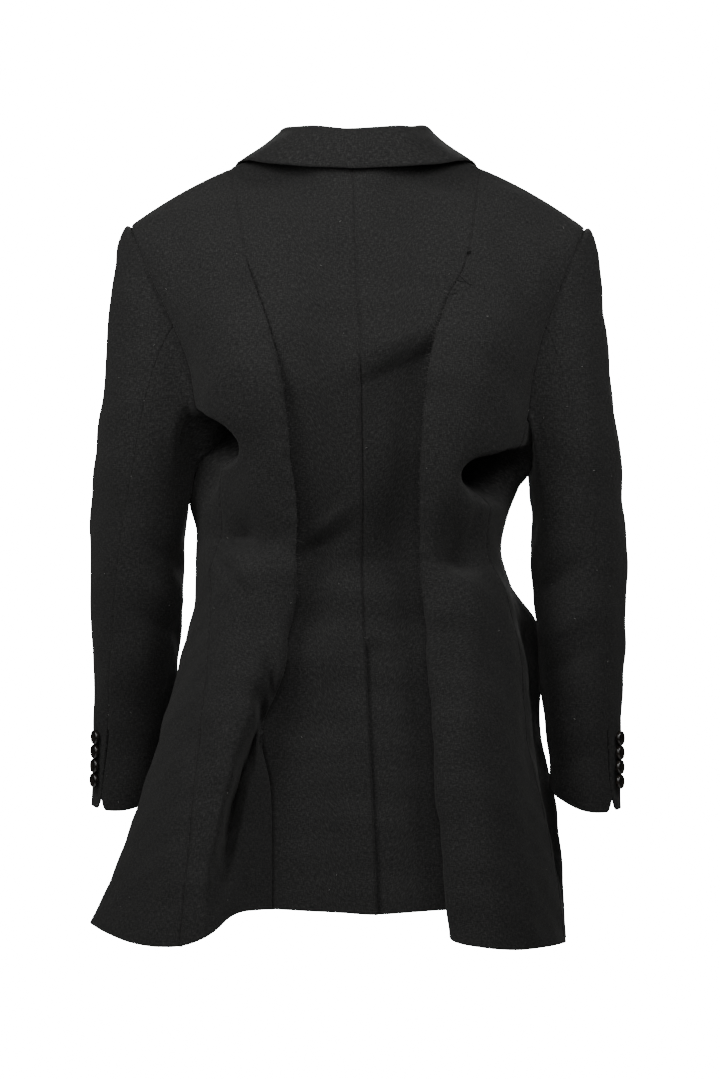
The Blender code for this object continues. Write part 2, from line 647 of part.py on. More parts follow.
def lapel(side, material):
    """The turned-back lapel, seated on its front along the roll line."""
    bottom = BREAK_LEVEL if side == RIGHT else LEFT_LAPEL_END
    levels = np.linspace(LAPEL_TOP, bottom + LAPEL_CLEAR, LAPEL_ROWS)
    width = column(LAPEL, "width", levels)
    if side == LEFT:
        width = width * (1 - LEFT_LAPEL_TAPER * ramp(levels, LEFT_LAPEL_TAPER_TOP, bottom))
    share = np.linspace(1.0, 0.0, LAPEL_COLUMNS)
    target = (roll_x(levels) + LAPEL_INSET)[:, None] + width[:, None] * share
    places = front_places(side, levels, target)
    surface = partial(front_surface, side)
    normals = grid_normals(surface, places, levels, side)
    lift = WALL + LAPEL_SEAT + (LAPEL_LIFT - LAPEL_SEAT) * ramp(share, 0.0, LAPEL_SEAT_SHARE)
    outer = surface(places, levels) + normals * lift[None, :, None]
    return cloth_solid("lapel_" + SIDE_NAMES[side], outer, normals, material)


def armhole(side):
    """Points and directions round an armhole, from the shoulder down the back and up the front."""
    surface = partial(side_surface, side)
    parts = []
    for places, levels in (
        (np.full((ARM_ROWS, 1), float(SEAM)), ARM_LEVELS),
        (spread(SEAM, FRONT_SEAM, SIDE_POINTS, 1), ARM_LEVELS[-1:]),
        (np.full((ARM_ROWS, 1), float(FRONT_SEAM)), ARM_LEVELS),
    ):
        points = surface(places, levels)
        normals = grid_normals(surface, places, levels, side)
        parts.append((points.reshape(-1, 3), normals.reshape(-1, 3)))
    back, under, front = parts
    points = np.concatenate((back[0], under[0][1:-1], front[0][::-1]))[:-1]
    normals = np.concatenate((back[1], under[1][1:-1], front[1][::-1]))[:-1]
    normals[0] = shoulder_normal(side)
    return points, normals


def sleeve_column(side, name, z):
    rows = SLEEVES[side]
    return smooth_curve(-rows["z"], rows[name], -np.asarray(z, float))


def tube(side, turns, z):
    """A point on the sleeve's tube; turn 0 is outermost and a quarter turn is the back."""
    angle = 2 * math.pi * turns
    x = sleeve_column(side, "x", z) + sleeve_column(side, "half_x", z) * np.cos(angle)
    y = sleeve_column(side, "y", z) - sleeve_column(side, "half_y", z) * np.sin(angle)
    return np.stack((side * x, y, z), axis=-1)


def sleeve_seam(name, z):
    """The turn at which a sleeve seam lies, at a height."""
    heights = SEAM_TURNS["z"]
    return smooth_curve(-heights, SEAM_TURNS[name], -np.clip(z, heights[-1], heights[0]))


def sleeve_part(side, first, last, seams):
    """Outer points of one sleeve piece between two seams, down the rows."""
    points = armhole(side)[0]
    count = len(points)
    steps = np.linalg.norm(np.roll(points, -1, axis=0) - points, axis=1)
    turns = np.concatenate(([0.0], np.cumsum(steps)[:-1])) / steps.sum()
    index = np.arange(first, last + 1)
    loop = points[index % count]
    start_turns = turns[index % count] + index // count
    share = np.linspace(0.0, 1.0, len(index))
    hind = sleeve_seam("hind", CUFF_HEIGHT)
    rows = []
    for along in SLEEVE_ROWS:
        settled = ramp(along, 0.0, SLEEVE_SETTLE)
        level = loop[:, 2] + (CUFF_HEIGHT - loop[:, 2]) * along
        ends = [sleeve_seam(name, level) + shift for name, shift in seams]
        turn = start_turns * (1 - settled) + (ends[0] + (ends[1] - ends[0]) * share) * settled
        bottom = smooth_curve(CUFF["turn"], CUFF["z"], turn % 1.0)
        near = np.clip(1 - np.abs(turn - hind) / CUFF_CORNER_TURN, 0, 1)
        bottom = bottom + CUFF_CORNER * near ** 2
        z = loop[:, 2] + (bottom - loop[:, 2]) * along
        offset = loop - tube(side, start_turns, loop[:, 2])
        top = ramp(loop[:, 2], *HEAD_TOP_Z)
        travel = along * (loop[:, 2] - bottom)
        decay = np.exp(-travel / (HEAD_DECAY + (HEAD_TOP_DECAY - HEAD_DECAY) * top))
        z = z + HEAD_ROPE * top * np.exp(-((travel - HEAD_ROPE_AT) / HEAD_ROPE_AT) ** 2) * (along > 0)
        rows.append(tube(side, turn, z) + offset * decay[:, None])
    return np.array(rows)


def sleeves(side, material):
    """Top and under sleeve, with shared directions along their two seams."""
    normals = armhole(side)[1]
    count = len(normals)
    top = sleeve_part(side, FORE_INDEX - count, HIND_INDEX, (("fore", -1.0), ("hind", 0.0)))
    under = sleeve_part(side, HIND_INDEX, FORE_INDEX, (("hind", 0.0), ("fore", 0.0)))
    ring = np.concatenate((top, under[:, 1:-1]), axis=1)
    across = np.roll(ring, -1, axis=1) - np.roll(ring, 1, axis=1)
    down = np.gradient(ring, axis=0)
    outward = side * unit(np.cross(across, down))
    body = np.roll(normals, count - (FORE_INDEX - count) % count, axis=0)
    high = ramp(ring[0, :, 2], *HEAD_NORMAL_Z)[:, None]
    outward[0] = unit(body * high + outward[0] * (1 - high))
    wide = top.shape[1]
    pieces = {
        "sleeve_top_": (top, outward[:, :wide]),
        "sleeve_under_": (under, np.concatenate((outward[:, wide - 1:], outward[:, :1]), axis=1)),
    }
    for name, (outer, directions) in pieces.items():
        outer = draw_in(outer, first_row=True, first_column=True, last_column=True)
        cloth_solid(name + SIDE_NAMES[side], outer, directions, material)


def neck_front(side, level):
    """A point just off the front's neck edge."""
    levels = np.array((level,))
    place = front_places(side, levels, roll_x(levels)[:, None])
    surface = partial(front_surface, side)
    outward = grid_normals(surface, place, levels, side)
    return (surface(place, levels) + outward * NECK_LIFT)[0, 0]


def collar_point(kind, part):
    """A point of the collar's neck seam, fold or outer edge, either side of the middle."""
    side = -1.0 if part < 0 else 1.0
    x, y, z = (
        float(smooth_curve(COLLAR["part"], COLLAR[kind + axis], abs(part))) for axis in ("_x", "_y", "_z")
    )
    return np.array((side * x, y, z))


def collar(material):
    """Stand and fall in one piece, folded over all round the neck."""
    rows = []
    for part in np.linspace(-COLLAR_END, COLLAR_END, COLLAR_ROWS):
        seam, fold, edge = (collar_point(kind, part) for kind in ("seam", "fold", "edge"))
        beyond = abs(part) - COLLAR_SHOULDER
        if beyond > 0:
            seam = neck_front(LEFT if part < 0 else RIGHT, TOP_LEVEL + beyond * COLLAR_FRONT_STEP)
        out = unit((edge - fold) * (1.0, 1.0, 0.0)) * COLLAR_ROLL
        down = np.array((0.0, 0.0, -COLLAR_ROLL))
        rows.append((seam, fold - out + down, fold, fold + out + down, edge))
    outer = along_stations(np.array(rows), np.tile(COLLAR_PLACES, (COLLAR_ROWS, 1)))
    across = np.gradient(outer, axis=1)
    along = np.gradient(outer, axis=0)
    normals = unit(np.cross(along, across))
    return cloth_solid("collar", outer, normals, material)


def button(name, middle, outward, radius, material):
    """A round button with a raised rim, standing just off the cloth."""
    mesh = bmesh.new()
    bmesh.ops.create_cone(
        mesh, cap_ends=True, segments=BUTTON_SEGMENTS,
        radius1=radius * BUTTON_FOOT, radius2=radius, depth=BUTTON_THICKNESS,
    )
    cap = max(mesh.faces, key=lambda face: face.calc_center_median().z)
    bmesh.ops.inset_region(mesh, faces=[cap], thickness=radius * BUTTON_RIM)
    dish = -BUTTON_THICKNESS * BUTTON_DISH
    bmesh.ops.inset_region(mesh, faces=[cap], thickness=radius * BUTTON_BEVEL, depth=dish)
    spin = Vector((0, 0, 1)).rotation_difference(Vector(outward)).to_matrix()
    bmesh.ops.rotate(mesh, cent=(0, 0, 0), matrix=spin, verts=mesh.verts[:])
    shift = Vector(middle) + Vector(outward) * (BUTTON_THICKNESS / 2 + BUTTON_LIFT)
    bmesh.ops.translate(mesh, vec=shift, verts=mesh.verts[:])
    return add_object(name, mesh, material)


def cuff_buttons(side, material):
    """A row of buttons beside the cuff vent, on the top sleeve."""
    angle = 2 * math.pi * CUFF_BUTTON_TURN
    for number in range(CUFF_BUTTONS):
        z = CUFF_BUTTON_FIRST + number * CUFF_BUTTON_STEP
        middle = tube(side, CUFF_BUTTON_TURN, z)
        wide, deep = sleeve_column(side, "half_x", z), sleeve_column(side, "half_y", z)
        outward = unit(np.array((side * math.cos(angle) / wide, -math.sin(angle) / deep, 0.0)))
        name = "cuff_button_%s_%d" % (SIDE_NAMES[side], number + 1)
        button(name, middle, outward, CUFF_BUTTON_RADIUS, material)


def front_button(material):
    """One button on the right front, at the waist."""
    levels = np.array((FRONT_BUTTON_LEVEL,))
    place = np.full((1, 1), float(CENTRE))
    surface = partial(front_surface, RIGHT)
    outward = grid_normals(surface, place, levels, RIGHT)[0, 0]
    button("front_button", surface(place, levels)[0, 0], outward, FRONT_BUTTON_RADIUS, material)


for old in list(bpy.data.objects):
    bpy.data.objects.remove(old)
cloth = make_material("black_wool", CLOTH_COLOUR, CLOTH_ROUGHNESS)
horn = make_material("black_button", BUTTON_COLOUR, BUTTON_ROUGHNESS)
for side in (LEFT, RIGHT):
    back_centre_panel(side, cloth)
    back_side_panel(side, cloth)
    side_panel(side, cloth)
    front_panel(side, cloth)
    lapel(side, cloth)
    sleeves(side, cloth)
    cuff_buttons(side, horn)
collar(cloth)
front_button(horn)
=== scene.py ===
"""Looks of a deconstructed blazer: draped cloth panels, raw edges, seams, buttons and a plain studio.

Metres, in the part's own frame: +Z is up, +Y the wearer's front and +X the wearer's right.
"""

import math
from functools import partial

import bmesh
import bpy
import numpy as np
from mathutils import Matrix, Vector


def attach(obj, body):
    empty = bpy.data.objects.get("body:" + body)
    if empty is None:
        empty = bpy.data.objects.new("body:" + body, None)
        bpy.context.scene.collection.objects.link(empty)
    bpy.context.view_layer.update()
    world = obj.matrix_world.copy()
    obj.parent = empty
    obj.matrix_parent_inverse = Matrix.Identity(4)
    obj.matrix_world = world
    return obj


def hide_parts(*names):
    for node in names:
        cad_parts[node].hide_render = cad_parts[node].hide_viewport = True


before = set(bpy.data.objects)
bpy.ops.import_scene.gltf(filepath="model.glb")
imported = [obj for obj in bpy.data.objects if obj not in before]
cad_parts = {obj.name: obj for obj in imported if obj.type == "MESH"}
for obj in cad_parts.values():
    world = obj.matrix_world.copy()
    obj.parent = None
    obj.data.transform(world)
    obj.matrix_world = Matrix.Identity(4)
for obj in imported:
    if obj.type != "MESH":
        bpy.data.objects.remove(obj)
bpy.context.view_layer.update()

# Driving sizes
LEFT, RIGHT = -1, 1
SIDE_NAMES = {LEFT: "left", RIGHT: "right"}

NECK_HALF_WIDTH = 0.085
NECK_TOP = 0.013
NECK_BACK_Z = -0.002
NECK_FADE = -0.035
NECK_QUARTER = (0.052, -0.0485, 0.004)
SHOULDER_SLOPE = 0.50
SHOULDER_BOW = 0.008
SHOULDER_LENGTH = 0.143
SHOULDER_FADE = 0.030
TOP_LEVEL = -0.005
HEM_LEVEL = -0.760
HEM_RAMP_TOP = -0.480
ARMPIT_LEVEL = -0.250
ARMPIT_DROP = 0.042
ARMPIT_RAMP = 0.090

# Loose back edges: sewn above the release, tucked under again at the join
RELEASE_LEVEL = -0.095
DIP_LENGTH = 0.016
TUCK_LENGTH = 0.030
TUCK_WIDTH = 0.018
JOIN_LEVEL = -0.500
JOIN_RISE = 0.050

# Back vent, left over right
VENT_TOP = -0.488
VENT_DIP = 0.0065
VENT_UNDERLAP = 0.70
VENT_RAMP = 0.018
VENT_REACH = 2.0

# Front opening, right over left
FRONT_OVERLAP = 0.022
BREAK_LEVEL = -0.335
LEFT_LAPEL_END = -0.250
LAY_UNDER = 0.0060
LAY_UNDER_X = (0.075, 0.028)
LAY_UNDER_Z = (-0.20, -0.27)
LAPEL_LIFT = 0.0028
LAPEL_SEAT = 0.0005
LAPEL_SEAT_SHARE = 0.4
LAPEL_TOP = -0.080
LAPEL_INSET = 0.0015
LAPEL_CLEAR = 0.004
LEFT_LAPEL_TAPER = 0.88
LEFT_LAPEL_TAPER_TOP = -0.150

# Small steps used to find directions, and halvings used to find a place
PLACE_STEP = 0.02
LEVEL_STEP = 0.002
HALVINGS = 40

# Tables are written in millimetres, apart from the columns that aren't lengths
MILLIMETRES = 1000
PLAIN_COLUMNS = ("arm", "lean", "form", "turn", "hind", "fore", "part")


def table(columns, *rows):
    """Named columns, from one row for each section, with the lengths in metres."""
    named = zip(columns, np.array(rows, float).T)
    return {name: values if name in PLAIN_COLUMNS else values / MILLIMETRES for name, values in named}


# Middle of the body: how much of the shoulder's slope each level follows, centre back and fronts
SPINE = table(
    ("level", "arm", "back_x", "back_y", "front_x", "front_y", "centre_y"),
    (-5, 1.00, -3, -62, 155, 0, 0),
    (-15, 0.95, -3, -68, 153, 18, 24),
    (-35, 0.84, -2, -80, 148, 46, 62),
    (-66, 0.76, -1, -93, 142, 76, 88),
    (-100, 0.64, 0, -103, 135, 96, 106),
    (-150, 0.45, 3, -112, 125, 112, 122),
    (-200, 0.24, 5, -115, 115, 121, 130),
    (-250, 0.05, 6, -112, 108, 123, 131),
    (-290, 0.00, 7, -106, 104, 119, 127),
    (-340, 0.00, 7, -95, 100, 109, 116),
    (-385, 0.00, 7, -85, 96, 101, 108),
    (-440, 0.00, 8, -88, 104, 111, 118),
    (-500, 0.00, 11, -100, 114, 125, 132),
    (-560, 0.00, 14, -113, 122, 137, 145),
    (-630, 0.00, 17, -126, 132, 149, 157),
    (-700, 0.00, 20, -138, 140, 159, 167),
    (-760, 0.00, 22, -147, 145, 165, 173),
)

# Each side, outward from the middle: loose edge, fold, flute, back seam or armhole, widest point, front seam
SIDE_COLUMNS = (
    "level", "edge_x", "edge_y", "fold_x", "fold_y", "mid_x", "mid_y",
    "seam_x", "seam_y", "side_x", "side_y", "fseam_x", "fseam_y",
)
SIDES = {
    LEFT: table(
        SIDE_COLUMNS,
        (-5, 126, 0, 141, 0, 178, 0, 228, 0, 250, 0, 228, 0),
        (-15, 124, -14, 139, -14, 176, -15, 226, -18, 248, 0, 226, 18),
        (-35, 120, -37, 134, -38, 170, -38, 220, -33, 240, 0, 220, 33),
        (-66, 115, -67, 129, -67, 163, -63, 209, -46, 232, 0, 209, 46),
        (-100, 109, -91, 123, -90, 155, -83, 196, -55, 220, 0, 196, 54),
        (-150, 91, -116, 107, -116, 142, -107, 177, -63, 203, 0, 177, 61),
        (-200, 77, -128, 92, -129, 130, -117, 160, -67, 180, 0, 163, 62),
        (-250, 69, -128, 84, -129, 120, -113, 149, -64, 157, -4, 150, 54),
        (-290, 65, -124, 80, -124, 111, -107, 139, -62, 154, -8, 147, 50),
        (-340, 59, -115, 75, -115, 107, -99, 137, -60, 159, -8, 144, 52),
        (-385, 59, -107, 73, -108, 108, -93, 141, -58, 159, -8, 140, 50),
        (-440, 60, -108, 68, -111, 110, -106, 144, -76, 163, -14, 144, 56),
        (-500, 74, -104, 69, -119, 107, -131, 148, -111, 178, -34, 154, 56),
        (-560, 94, -100, 95, -128, 122, -153, 155, -142, 193, -56, 160, 50),
        (-630, 84, -116, 112, -142, 138, -176, 161, -171, 215, -76, 166, 42),
        (-700, 82, -132, 117, -158, 143, -194, 164, -192, 240, -90, 176, 40),
        (-760, 82, -142, 117, -170, 145, -206, 168, -206, 267, -100, 188, 40),
    ),
    RIGHT: table(
        SIDE_COLUMNS,
        (-5, 124, 0, 139, 0, 178, 0, 232, 0, 254, 0, 232, 0),
        (-15, 123, -14, 138, -14, 176, -15, 229, -18, 252, 0, 229, 18),
        (-35, 121, -37, 135, -38, 172, -38, 223, -33, 244, 0, 223, 33),
        (-66, 117, -67, 131, -67, 165, -63, 211, -46, 235, 0, 211, 46),
        (-100, 110, -91, 124, -90, 157, -83, 200, -55, 224, 0, 200, 54),
        (-150, 86, -116, 102, -117, 144, -107, 186, -63, 209, 0, 184, 61),
        (-200, 73, -128, 88, -129, 134, -118, 177, -67, 193, 0, 172, 63),
        (-250, 67, -128, 82, -129, 126, -114, 169, -64, 171, -4, 160, 56),
        (-290, 64, -124, 79, -124, 114, -108, 150, -64, 160, -4, 152, 52),
        (-340, 63, -115, 77, -115, 102, -102, 130, -72, 156, 0, 146, 54),
        (-385, 64, -107, 75, -108, 103, -96, 130, -68, 147, 4, 140, 52),
        (-440, 66, -108, 70, -112, 112, -104, 152, -58, 160, 6, 162, 54),
        (-500, 88, -100, 71, -122, 111, -124, 168, -56, 170, 6, 181, 62),
        (-560, 98, -106, 76, -136, 113, -143, 180, -60, 175, 4, 186, 68),
        (-630, 100, -118, 81, -150, 118, -162, 190, -68, 182, 2, 202, 70),
        (-700, 102, -130, 87, -163, 125, -177, 202, -76, 192, 0, 212, 70),
        (-760, 104, -140, 91, -173, 130, -187, 212, -82, 198, 0, 213, 70),
    ),
}

# Height of the hem at each station
STATIONS = ("edge", "fold", "mid", "seam", "side", "fseam", "front", "centre", "across")
HEM = {
    LEFT: np.array((-0.740, -0.743, -0.764, -0.773, -0.754, -0.754, -0.750, -0.750, -0.750)),
    RIGHT: np.array((-0.740, -0.768, -0.777, -0.775, -0.777, -0.777, -0.752, -0.750, -0.750)),
}
HEM_BACK = -0.7455
EDGE, SEAM, FRONT_SEAM, ACROSS = (STATIONS.index(name) for name in ("edge", "seam", "fseam", "across"))

# Stations of the centre back: its middle, its ends and shares of the way between
CENTRE_MIDDLE = 3
CENTRE_ENDS = {LEFT: 0, RIGHT: 6}
CENTRE_HALF_SHARE = 0.58
CENTRE_INNER_SHARE = 0.30

# How deep the centre back lies under the loose edges
LIFT = table(
    ("level", "lift"),
    (-95, 0), (-111, 4), (-150, 9), (-200, 13), (-290, 18), (-385, 20), (-440, 18), (-480, 10),
    (-500, 0), (-560, 0), (-760, 0),
)

# Creases, and how far round the body those of the back and the front reach
FOLD_COLUMNS = ("x", "z", "half_x", "half_up", "half_down", "lean", "depth", "form")
FOLD_BACK_Y = (-0.020, -0.058)
FOLD_FRONT_Y = (0.020, 0.058)
FOLD_FULL_PLACE = 0.35


def folds(*rows):
    """Creases: middle, half-length, half-height above and below, lean, depth inward and form.

    A form under 1 is a sharp crease, 1 is a soft trough or ridge and more is a pit with steep sides.
    """
    return table(FOLD_COLUMNS, *rows)


BACK_FOLDS = {
    LEFT: folds(
        (147, -268, 26, 18, 26, 0.45, 46, 3.0),
        (156, -300, 16, 30, 40, -0.40, 24, 1.6),
        (146, -240, 26, 30, 12, 0.40, -6, 1.0),
        (116, -222, 45, 50, 60, 0.00, -7, 1.0),
        (122, -373, 19, 30, 9, 0.04, 17, 0.7),
        (86, -376, 22, 26, 12, -0.10, 4, 0.8),
        (112, -412, 42, 20, 28, 0.00, -8.5, 1.0),
        (125, -406, 15, 10, 11, 1.20, 5, 0.8),
        (160, -600, 16, 130, 120, 0.00, 5, 1.0),
    ),
    RIGHT: folds(
        (147, -304, 37, 17, 28, 0.14, 52, 2.2),
        (164, -312, 20, 18, 24, 0.05, 32, 1.6),
        (150, -276, 32, 30, 12, 0.15, -6, 1.0),
        (112, -318, 42, 100, 45, 0.00, -11, 1.0),
        (103, -398, 16, 30, 9, -0.16, 16, 0.7),
        (106, -428, 40, 20, 28, -0.15, -6, 1.0),
        (117, -352, 7, 34, 44, 0.00, 5.5, 1.0),
        (180, -580, 16, 90, 70, 0.00, 9, 1.0),
    ),
}

# The deep valley beside the left flute, which goes straight in
FLUTE_VALLEY = folds(
    (87, -522, 8, 24, 22, 0.00, 14, 1.0),
    (98, -550, 8, 24, 24, 0.00, 30, 1.0),
    (109, -578, 8, 26, 26, 0.00, 40, 1.0),
    (119, -606, 8, 26, 26, 0.00, 44, 1.0),
    (126, -636, 8, 28, 28, 0.00, 42, 1.0),
    (132, -668, 9, 30, 30, 0.00, 33, 1.0),
    (137, -702, 10, 32, 36, 0.00, 18, 1.0),
)

# How far the flute's crest rolls over that valley
FLUTE_ROLL = folds(
    (94, -522, 12, 24, 22, 0.00, 4.5, 1.0),
    (113, -550, 13, 24, 24, 0.00, 11.5, 1.0),
    (124, -578, 13, 26, 26, 0.00, 10, 1.0),
    (134, -606, 13, 26, 26, 0.00, 9, 1.0),
    (141, -636, 13, 28, 28, 0.00, 8, 1.0),
    (146, -668, 13, 30, 30, 0.00, 6.5, 1.0),
    (150, -702, 13, 32, 36, 0.00, 3, 1.0),
)

# Fullness under the arms and beside the right hip, read by depth and height
SIDE_FOLD_Y = (0.085, 0.055)
SIDE_FOLDS = {
    LEFT: folds(
        (-4, -322, 40, 45, 36, 0.00, -10, 1.0),
    ),
    RIGHT: folds(
        (-4, -304, 36, 34, 26, 0.00, -9.5, 1.0),
        (52, -464, 34, 24, 56, 0.00, -13, 1.0),
    ),
}
FRONT_FOLDS = {
    LEFT: folds(
        (120, -262, 30, 16, 20, 0.35, 8, 1.0),
        (85, -385, 50, 24, 12, 0.12, 5, 0.7),
        (95, -420, 45, 20, 22, 0.05, -4, 1.0),
        (120, -600, 18, 120, 140, 0.00, 5, 1.0),
    ),
    RIGHT: folds(
        (126, -270, 30, 16, 20, 0.30, 8, 1.0),
        (80, -378, 50, 24, 12, 0.15, 5, 0.7),
        (92, -415, 45, 20, 22, 0.05, -4, 1.0),
        (130, -620, 18, 120, 130, 0.00, 5, 1.0),
    ),
}

# Sleeve tubes: middle and half-sizes at each height
SLEEVES = {
    LEFT: table(
        ("z", "x", "y", "half_x", "half_y"),
        (-60, 178, 0, 60, 46),
        (-135, 193, 0, 54, 64),
        (-235, 204, 2, 52, 70),
        (-300, 212.5, 6, 50.5, 67),
        (-365, 219, 12, 48, 62),
        (-435, 220.5, 22, 46.5, 57),
        (-485, 222, 31, 44, 54),
        (-535, 224.5, 42, 40.5, 50),
        (-595, 228.5, 55, 37.5, 46),
        (-655, 232, 66, 36, 44),
    ),
    RIGHT: table(
        ("z", "x", "y", "half_x", "half_y"),
        (-60, 181, 0, 60, 46),
        (-135, 195, 0, 54, 64),
        (-235, 207, 0, 52, 70),
        (-300, 216.5, 1, 50, 67),
        (-365, 222.5, 2, 48.5, 62),
        (-435, 225, 2, 47, 57),
        (-485, 226.5, 1, 44, 53),
        (-535, 227.5, 0, 41, 49),
        (-595, 230, -2, 37, 45),
        (-655, 232, -4, 35, 43),
    ),
}

# Sleeve seams as turns from the outermost line, going round by the back
SEAM_TURNS = table(
    ("z", "hind", "fore"),
    (-300, 0.215, 0.640),
    (-395, 0.186, 0.640),
    (-485, 0.158, 0.645),
    (-555, 0.148, 0.650),
    (-650, 0.122, 0.655),
)
CUFF = table(
    ("turn", "z"),
    (0.0, -643), (0.25, -647), (0.5, -624), (0.75, -630), (1.0, -643),
)
CUFF_CORNER = 0.014
CUFF_CORNER_TURN = 0.035
HEAD_DECAY = 0.055
HEAD_TOP_DECAY = 0.009
HEAD_ROPE = 0.0025
HEAD_ROPE_AT = 0.006
HEAD_TOP_Z = (-0.120, -0.062)
SLEEVE_SETTLE = 0.45
CUFF_HEIGHT = -0.650
SLEEVE_RADIUS = 0.050
SLEEVE_BACK_Y = (0.0, -0.020)
SLEEVE_FRONT_Y = (0.0, 0.020)

# Collar: neck seam, fold and outer edge from the middle of the back to the notch
COLLAR = table(
    ("part", "seam_x", "seam_y", "seam_z", "fold_x", "fold_y", "fold_z", "edge_x", "edge_y", "edge_z"),
    (0.0, 0, -61.5, -6, 0, -56, 36, 0, -72, -5),
    (1.0, 52, -47.5, 0.5, 46, -43, 37, 70, -56, -1),
    (2.0, 85, 0, 13.5, 73, 0, 37, 114.5, -4, 5),
    (3.0, 84, 38, -5, 71, 44, 16, 119, 54, -12),
    (4.0, 73, 83, -48, 64, 97, -32, 107, 100, -56),
)
COLLAR_ROLL = 0.005
COLLAR_END = 3.7
COLLAR_SHOULDER = 2.0
COLLAR_FRONT_STEP = -0.036
NECK_LIFT = 0.003

# Lapel width from the roll line, from the top of the gorge down
LAPEL = table(
    ("level", "width"),
    (-80, 46), (-98, 74), (-150, 64), (-250, 34), (-335, 5),
)

# Easing of the sections, so that no table row or station shows in the cloth
SOFT_REACH = 0.014
SOFT_PLACE = 0.30
SOFT_STEPS = ((-1.0, 0.0625), (-0.5, 0.25), (0.0, 0.375), (0.5, 0.25), (1.0, 0.0625))

# Walls of the solids and of the cloth, seam grooves, raw edges and the slight unevenness of hanging wool
WALL = 0.002
CLOTH_THICK = 0.0017
SEAM_DIP = 0.0014
SEAM_WIDTH = 0.0016
CENTRE_SEAM_MORE = 0.7
CENTRE_SEAM_FROM = (-0.185, -0.215)
ARMHOLE_DEEPER = 2.0
ARMHOLE_WIDTH = 0.0030
SLEEVE_SEAM_SHARE = 0.45
CUFF_SLIT_SHARE = 2.0
CUFF_SLIT_TOP = (-0.563, -0.573)
FOLD_CLEAR = 0.012
TURNING = ((0.0010, 0.0019), (0.0040, 0.0024))
TURNING_INNER = 2
WIDE_TURNING = 2.5
LEVEL_WAY = (1.0, 1.0, 0.0)
UPRIGHT_WAY = (0.0, 1.0, 1.0)
RAW_CURL = 0.0014
RAW_CURL_WIDTH = 0.010
RAW_CURL_LEAST = 0.6
RAW_CURL_END = (-0.425, -0.380)
RAW_WANDER = 0.0003
RAW_CUT_WIDTH = 0.0035
WANDER_ROWS = 9
WANDER_GAIN = 2
UNEVEN = 0.00035
UNEVEN_WAVES = 10
UNEVEN_LENGTHS = (0.028, 0.085)
CALM_REACH = 0.030
CALM_RING = 120
CALM_LINE = 40
SEED = 11

# Creases of the centre back: the ledge between the shoulder blades and the drag of the waist
CENTRE_FOLDS = folds(
    (-40, -190, 50, 50, 35, -0.24, -5, 0.8),
    (-56, -290, 30, 90, 80, 0.00, -6, 1.0),
    (40, -177, 50, 55, 20, 0.45, -6.5, 0.55),
    (56, -199, 46, 11, 280, 0.45, 12.5, 0.85),
    (-80, -175, 30, 45, 80, 0.00, -5.5, 1.0),
    (30, -396, 70, 34, 12, -0.03, 5, 0.6),
    (-36, -382, 30, 12, 12, 0.60, 5.6, 0.8),
    (-34, -362, 28, 10, 12, 0.70, -4.2, 1.0),
    (20, -428, 60, 16, 30, 0.00, -3, 1.0),
)

# Creases of the sleeves, behind at the elbow and in front in the crook of the arm
SLEEVE_FOLDS = {
    LEFT: folds(
        (185, -395, 30, 16, 10, 0.55, 4.2, 0.8),
        (190, -430, 32, 18, 12, 0.45, -3, 1.0),
        (195, -462, 30, 16, 10, 0.50, 3.6, 0.8),
        (225, -545, 40, 22, 16, 0.35, 2.2, 1.0),
        (230, -340, 40, 26, 18, -0.30, 2, 1.0),
        (162, -278, 13, 30, 40, 0.00, 16, 1.5),
    ),
    RIGHT: folds(
        (190, -420, 34, 18, 10, 0.55, 4, 0.8),
        (205, -462, 36, 18, 12, 0.45, -3, 1.0),
        (205, -500, 34, 18, 10, 0.50, 3.4, 0.8),
        (235, -585, 40, 24, 16, 0.35, 2.2, 1.0),
        (232, -330, 40, 26, 18, -0.30, 2, 1.0),
    ),
}
CROOK_FOLDS = folds(
    (200, -300, 34, 20, 14, -0.35, 4, 0.9),
    (206, -345, 38, 18, 12, 0.25, 6, 0.7),
    (212, -382, 36, 18, 14, 0.10, -3.5, 1.0),
    (210, -415, 36, 18, 12, -0.20, 5, 0.7),
    (222, -500, 34, 24, 18, 0.30, 2.6, 1.0),
)

# Stitched line down the right side back
STITCH_LINE = table(
    ("z", "x"),
    (-395, 120), (-430, 119), (-485, 114), (-549, 105), (-613, 96), (-660, 92),
)
STITCH_FADE = 0.020
STITCH_RIDGE = 0.0035
STITCH_RIDGE_WIDTH = 0.018

# Grid sizes, and how close together the columns lie towards the seams
COLUMN_CROWD = 0.80
BACK_ROWS = 340
BACK_SIDE_COLUMNS = 70
BACK_SIDE_SHARES = (0.0, 0.16, 0.52, 1.0)
BACK_SIDE_STATIONS = (0.0, 1.0, 2.0, 3.0)
CENTRE_COLUMNS = 46
SIDE_ROWS = 220
SIDE_COLUMNS_SHOWN = 60
FRONT_ROWS = 220
FRONT_COLUMNS = 70
LAPEL_ROWS = 70
LAPEL_COLUMNS = 30
SLEEVE_ROWS = 220
SLEEVE_CROWD = 1.25
TOP_SLEEVE_COLUMNS = 70
UNDER_SLEEVE_COLUMNS = 52
COLLAR_ROWS = 200
COLLAR_COLUMNS = 46

# Places round the armhole, counted down the back, under the arm and up the front
ARM_LEVELS = np.array((
    -0.005, -0.015, -0.030, -0.048, -0.070, -0.090, -0.111, -0.135, -0.160, -0.185, -0.208, -0.230, -0.250,
))
ARM_LOOP = 30
HIND_INDEX = 7
FORE_INDEX = 21
TOP_SEAMS = (("fore", -1.0), ("hind", 0.0))
UNDER_SEAMS = (("hind", 0.0), ("fore", 0.0))

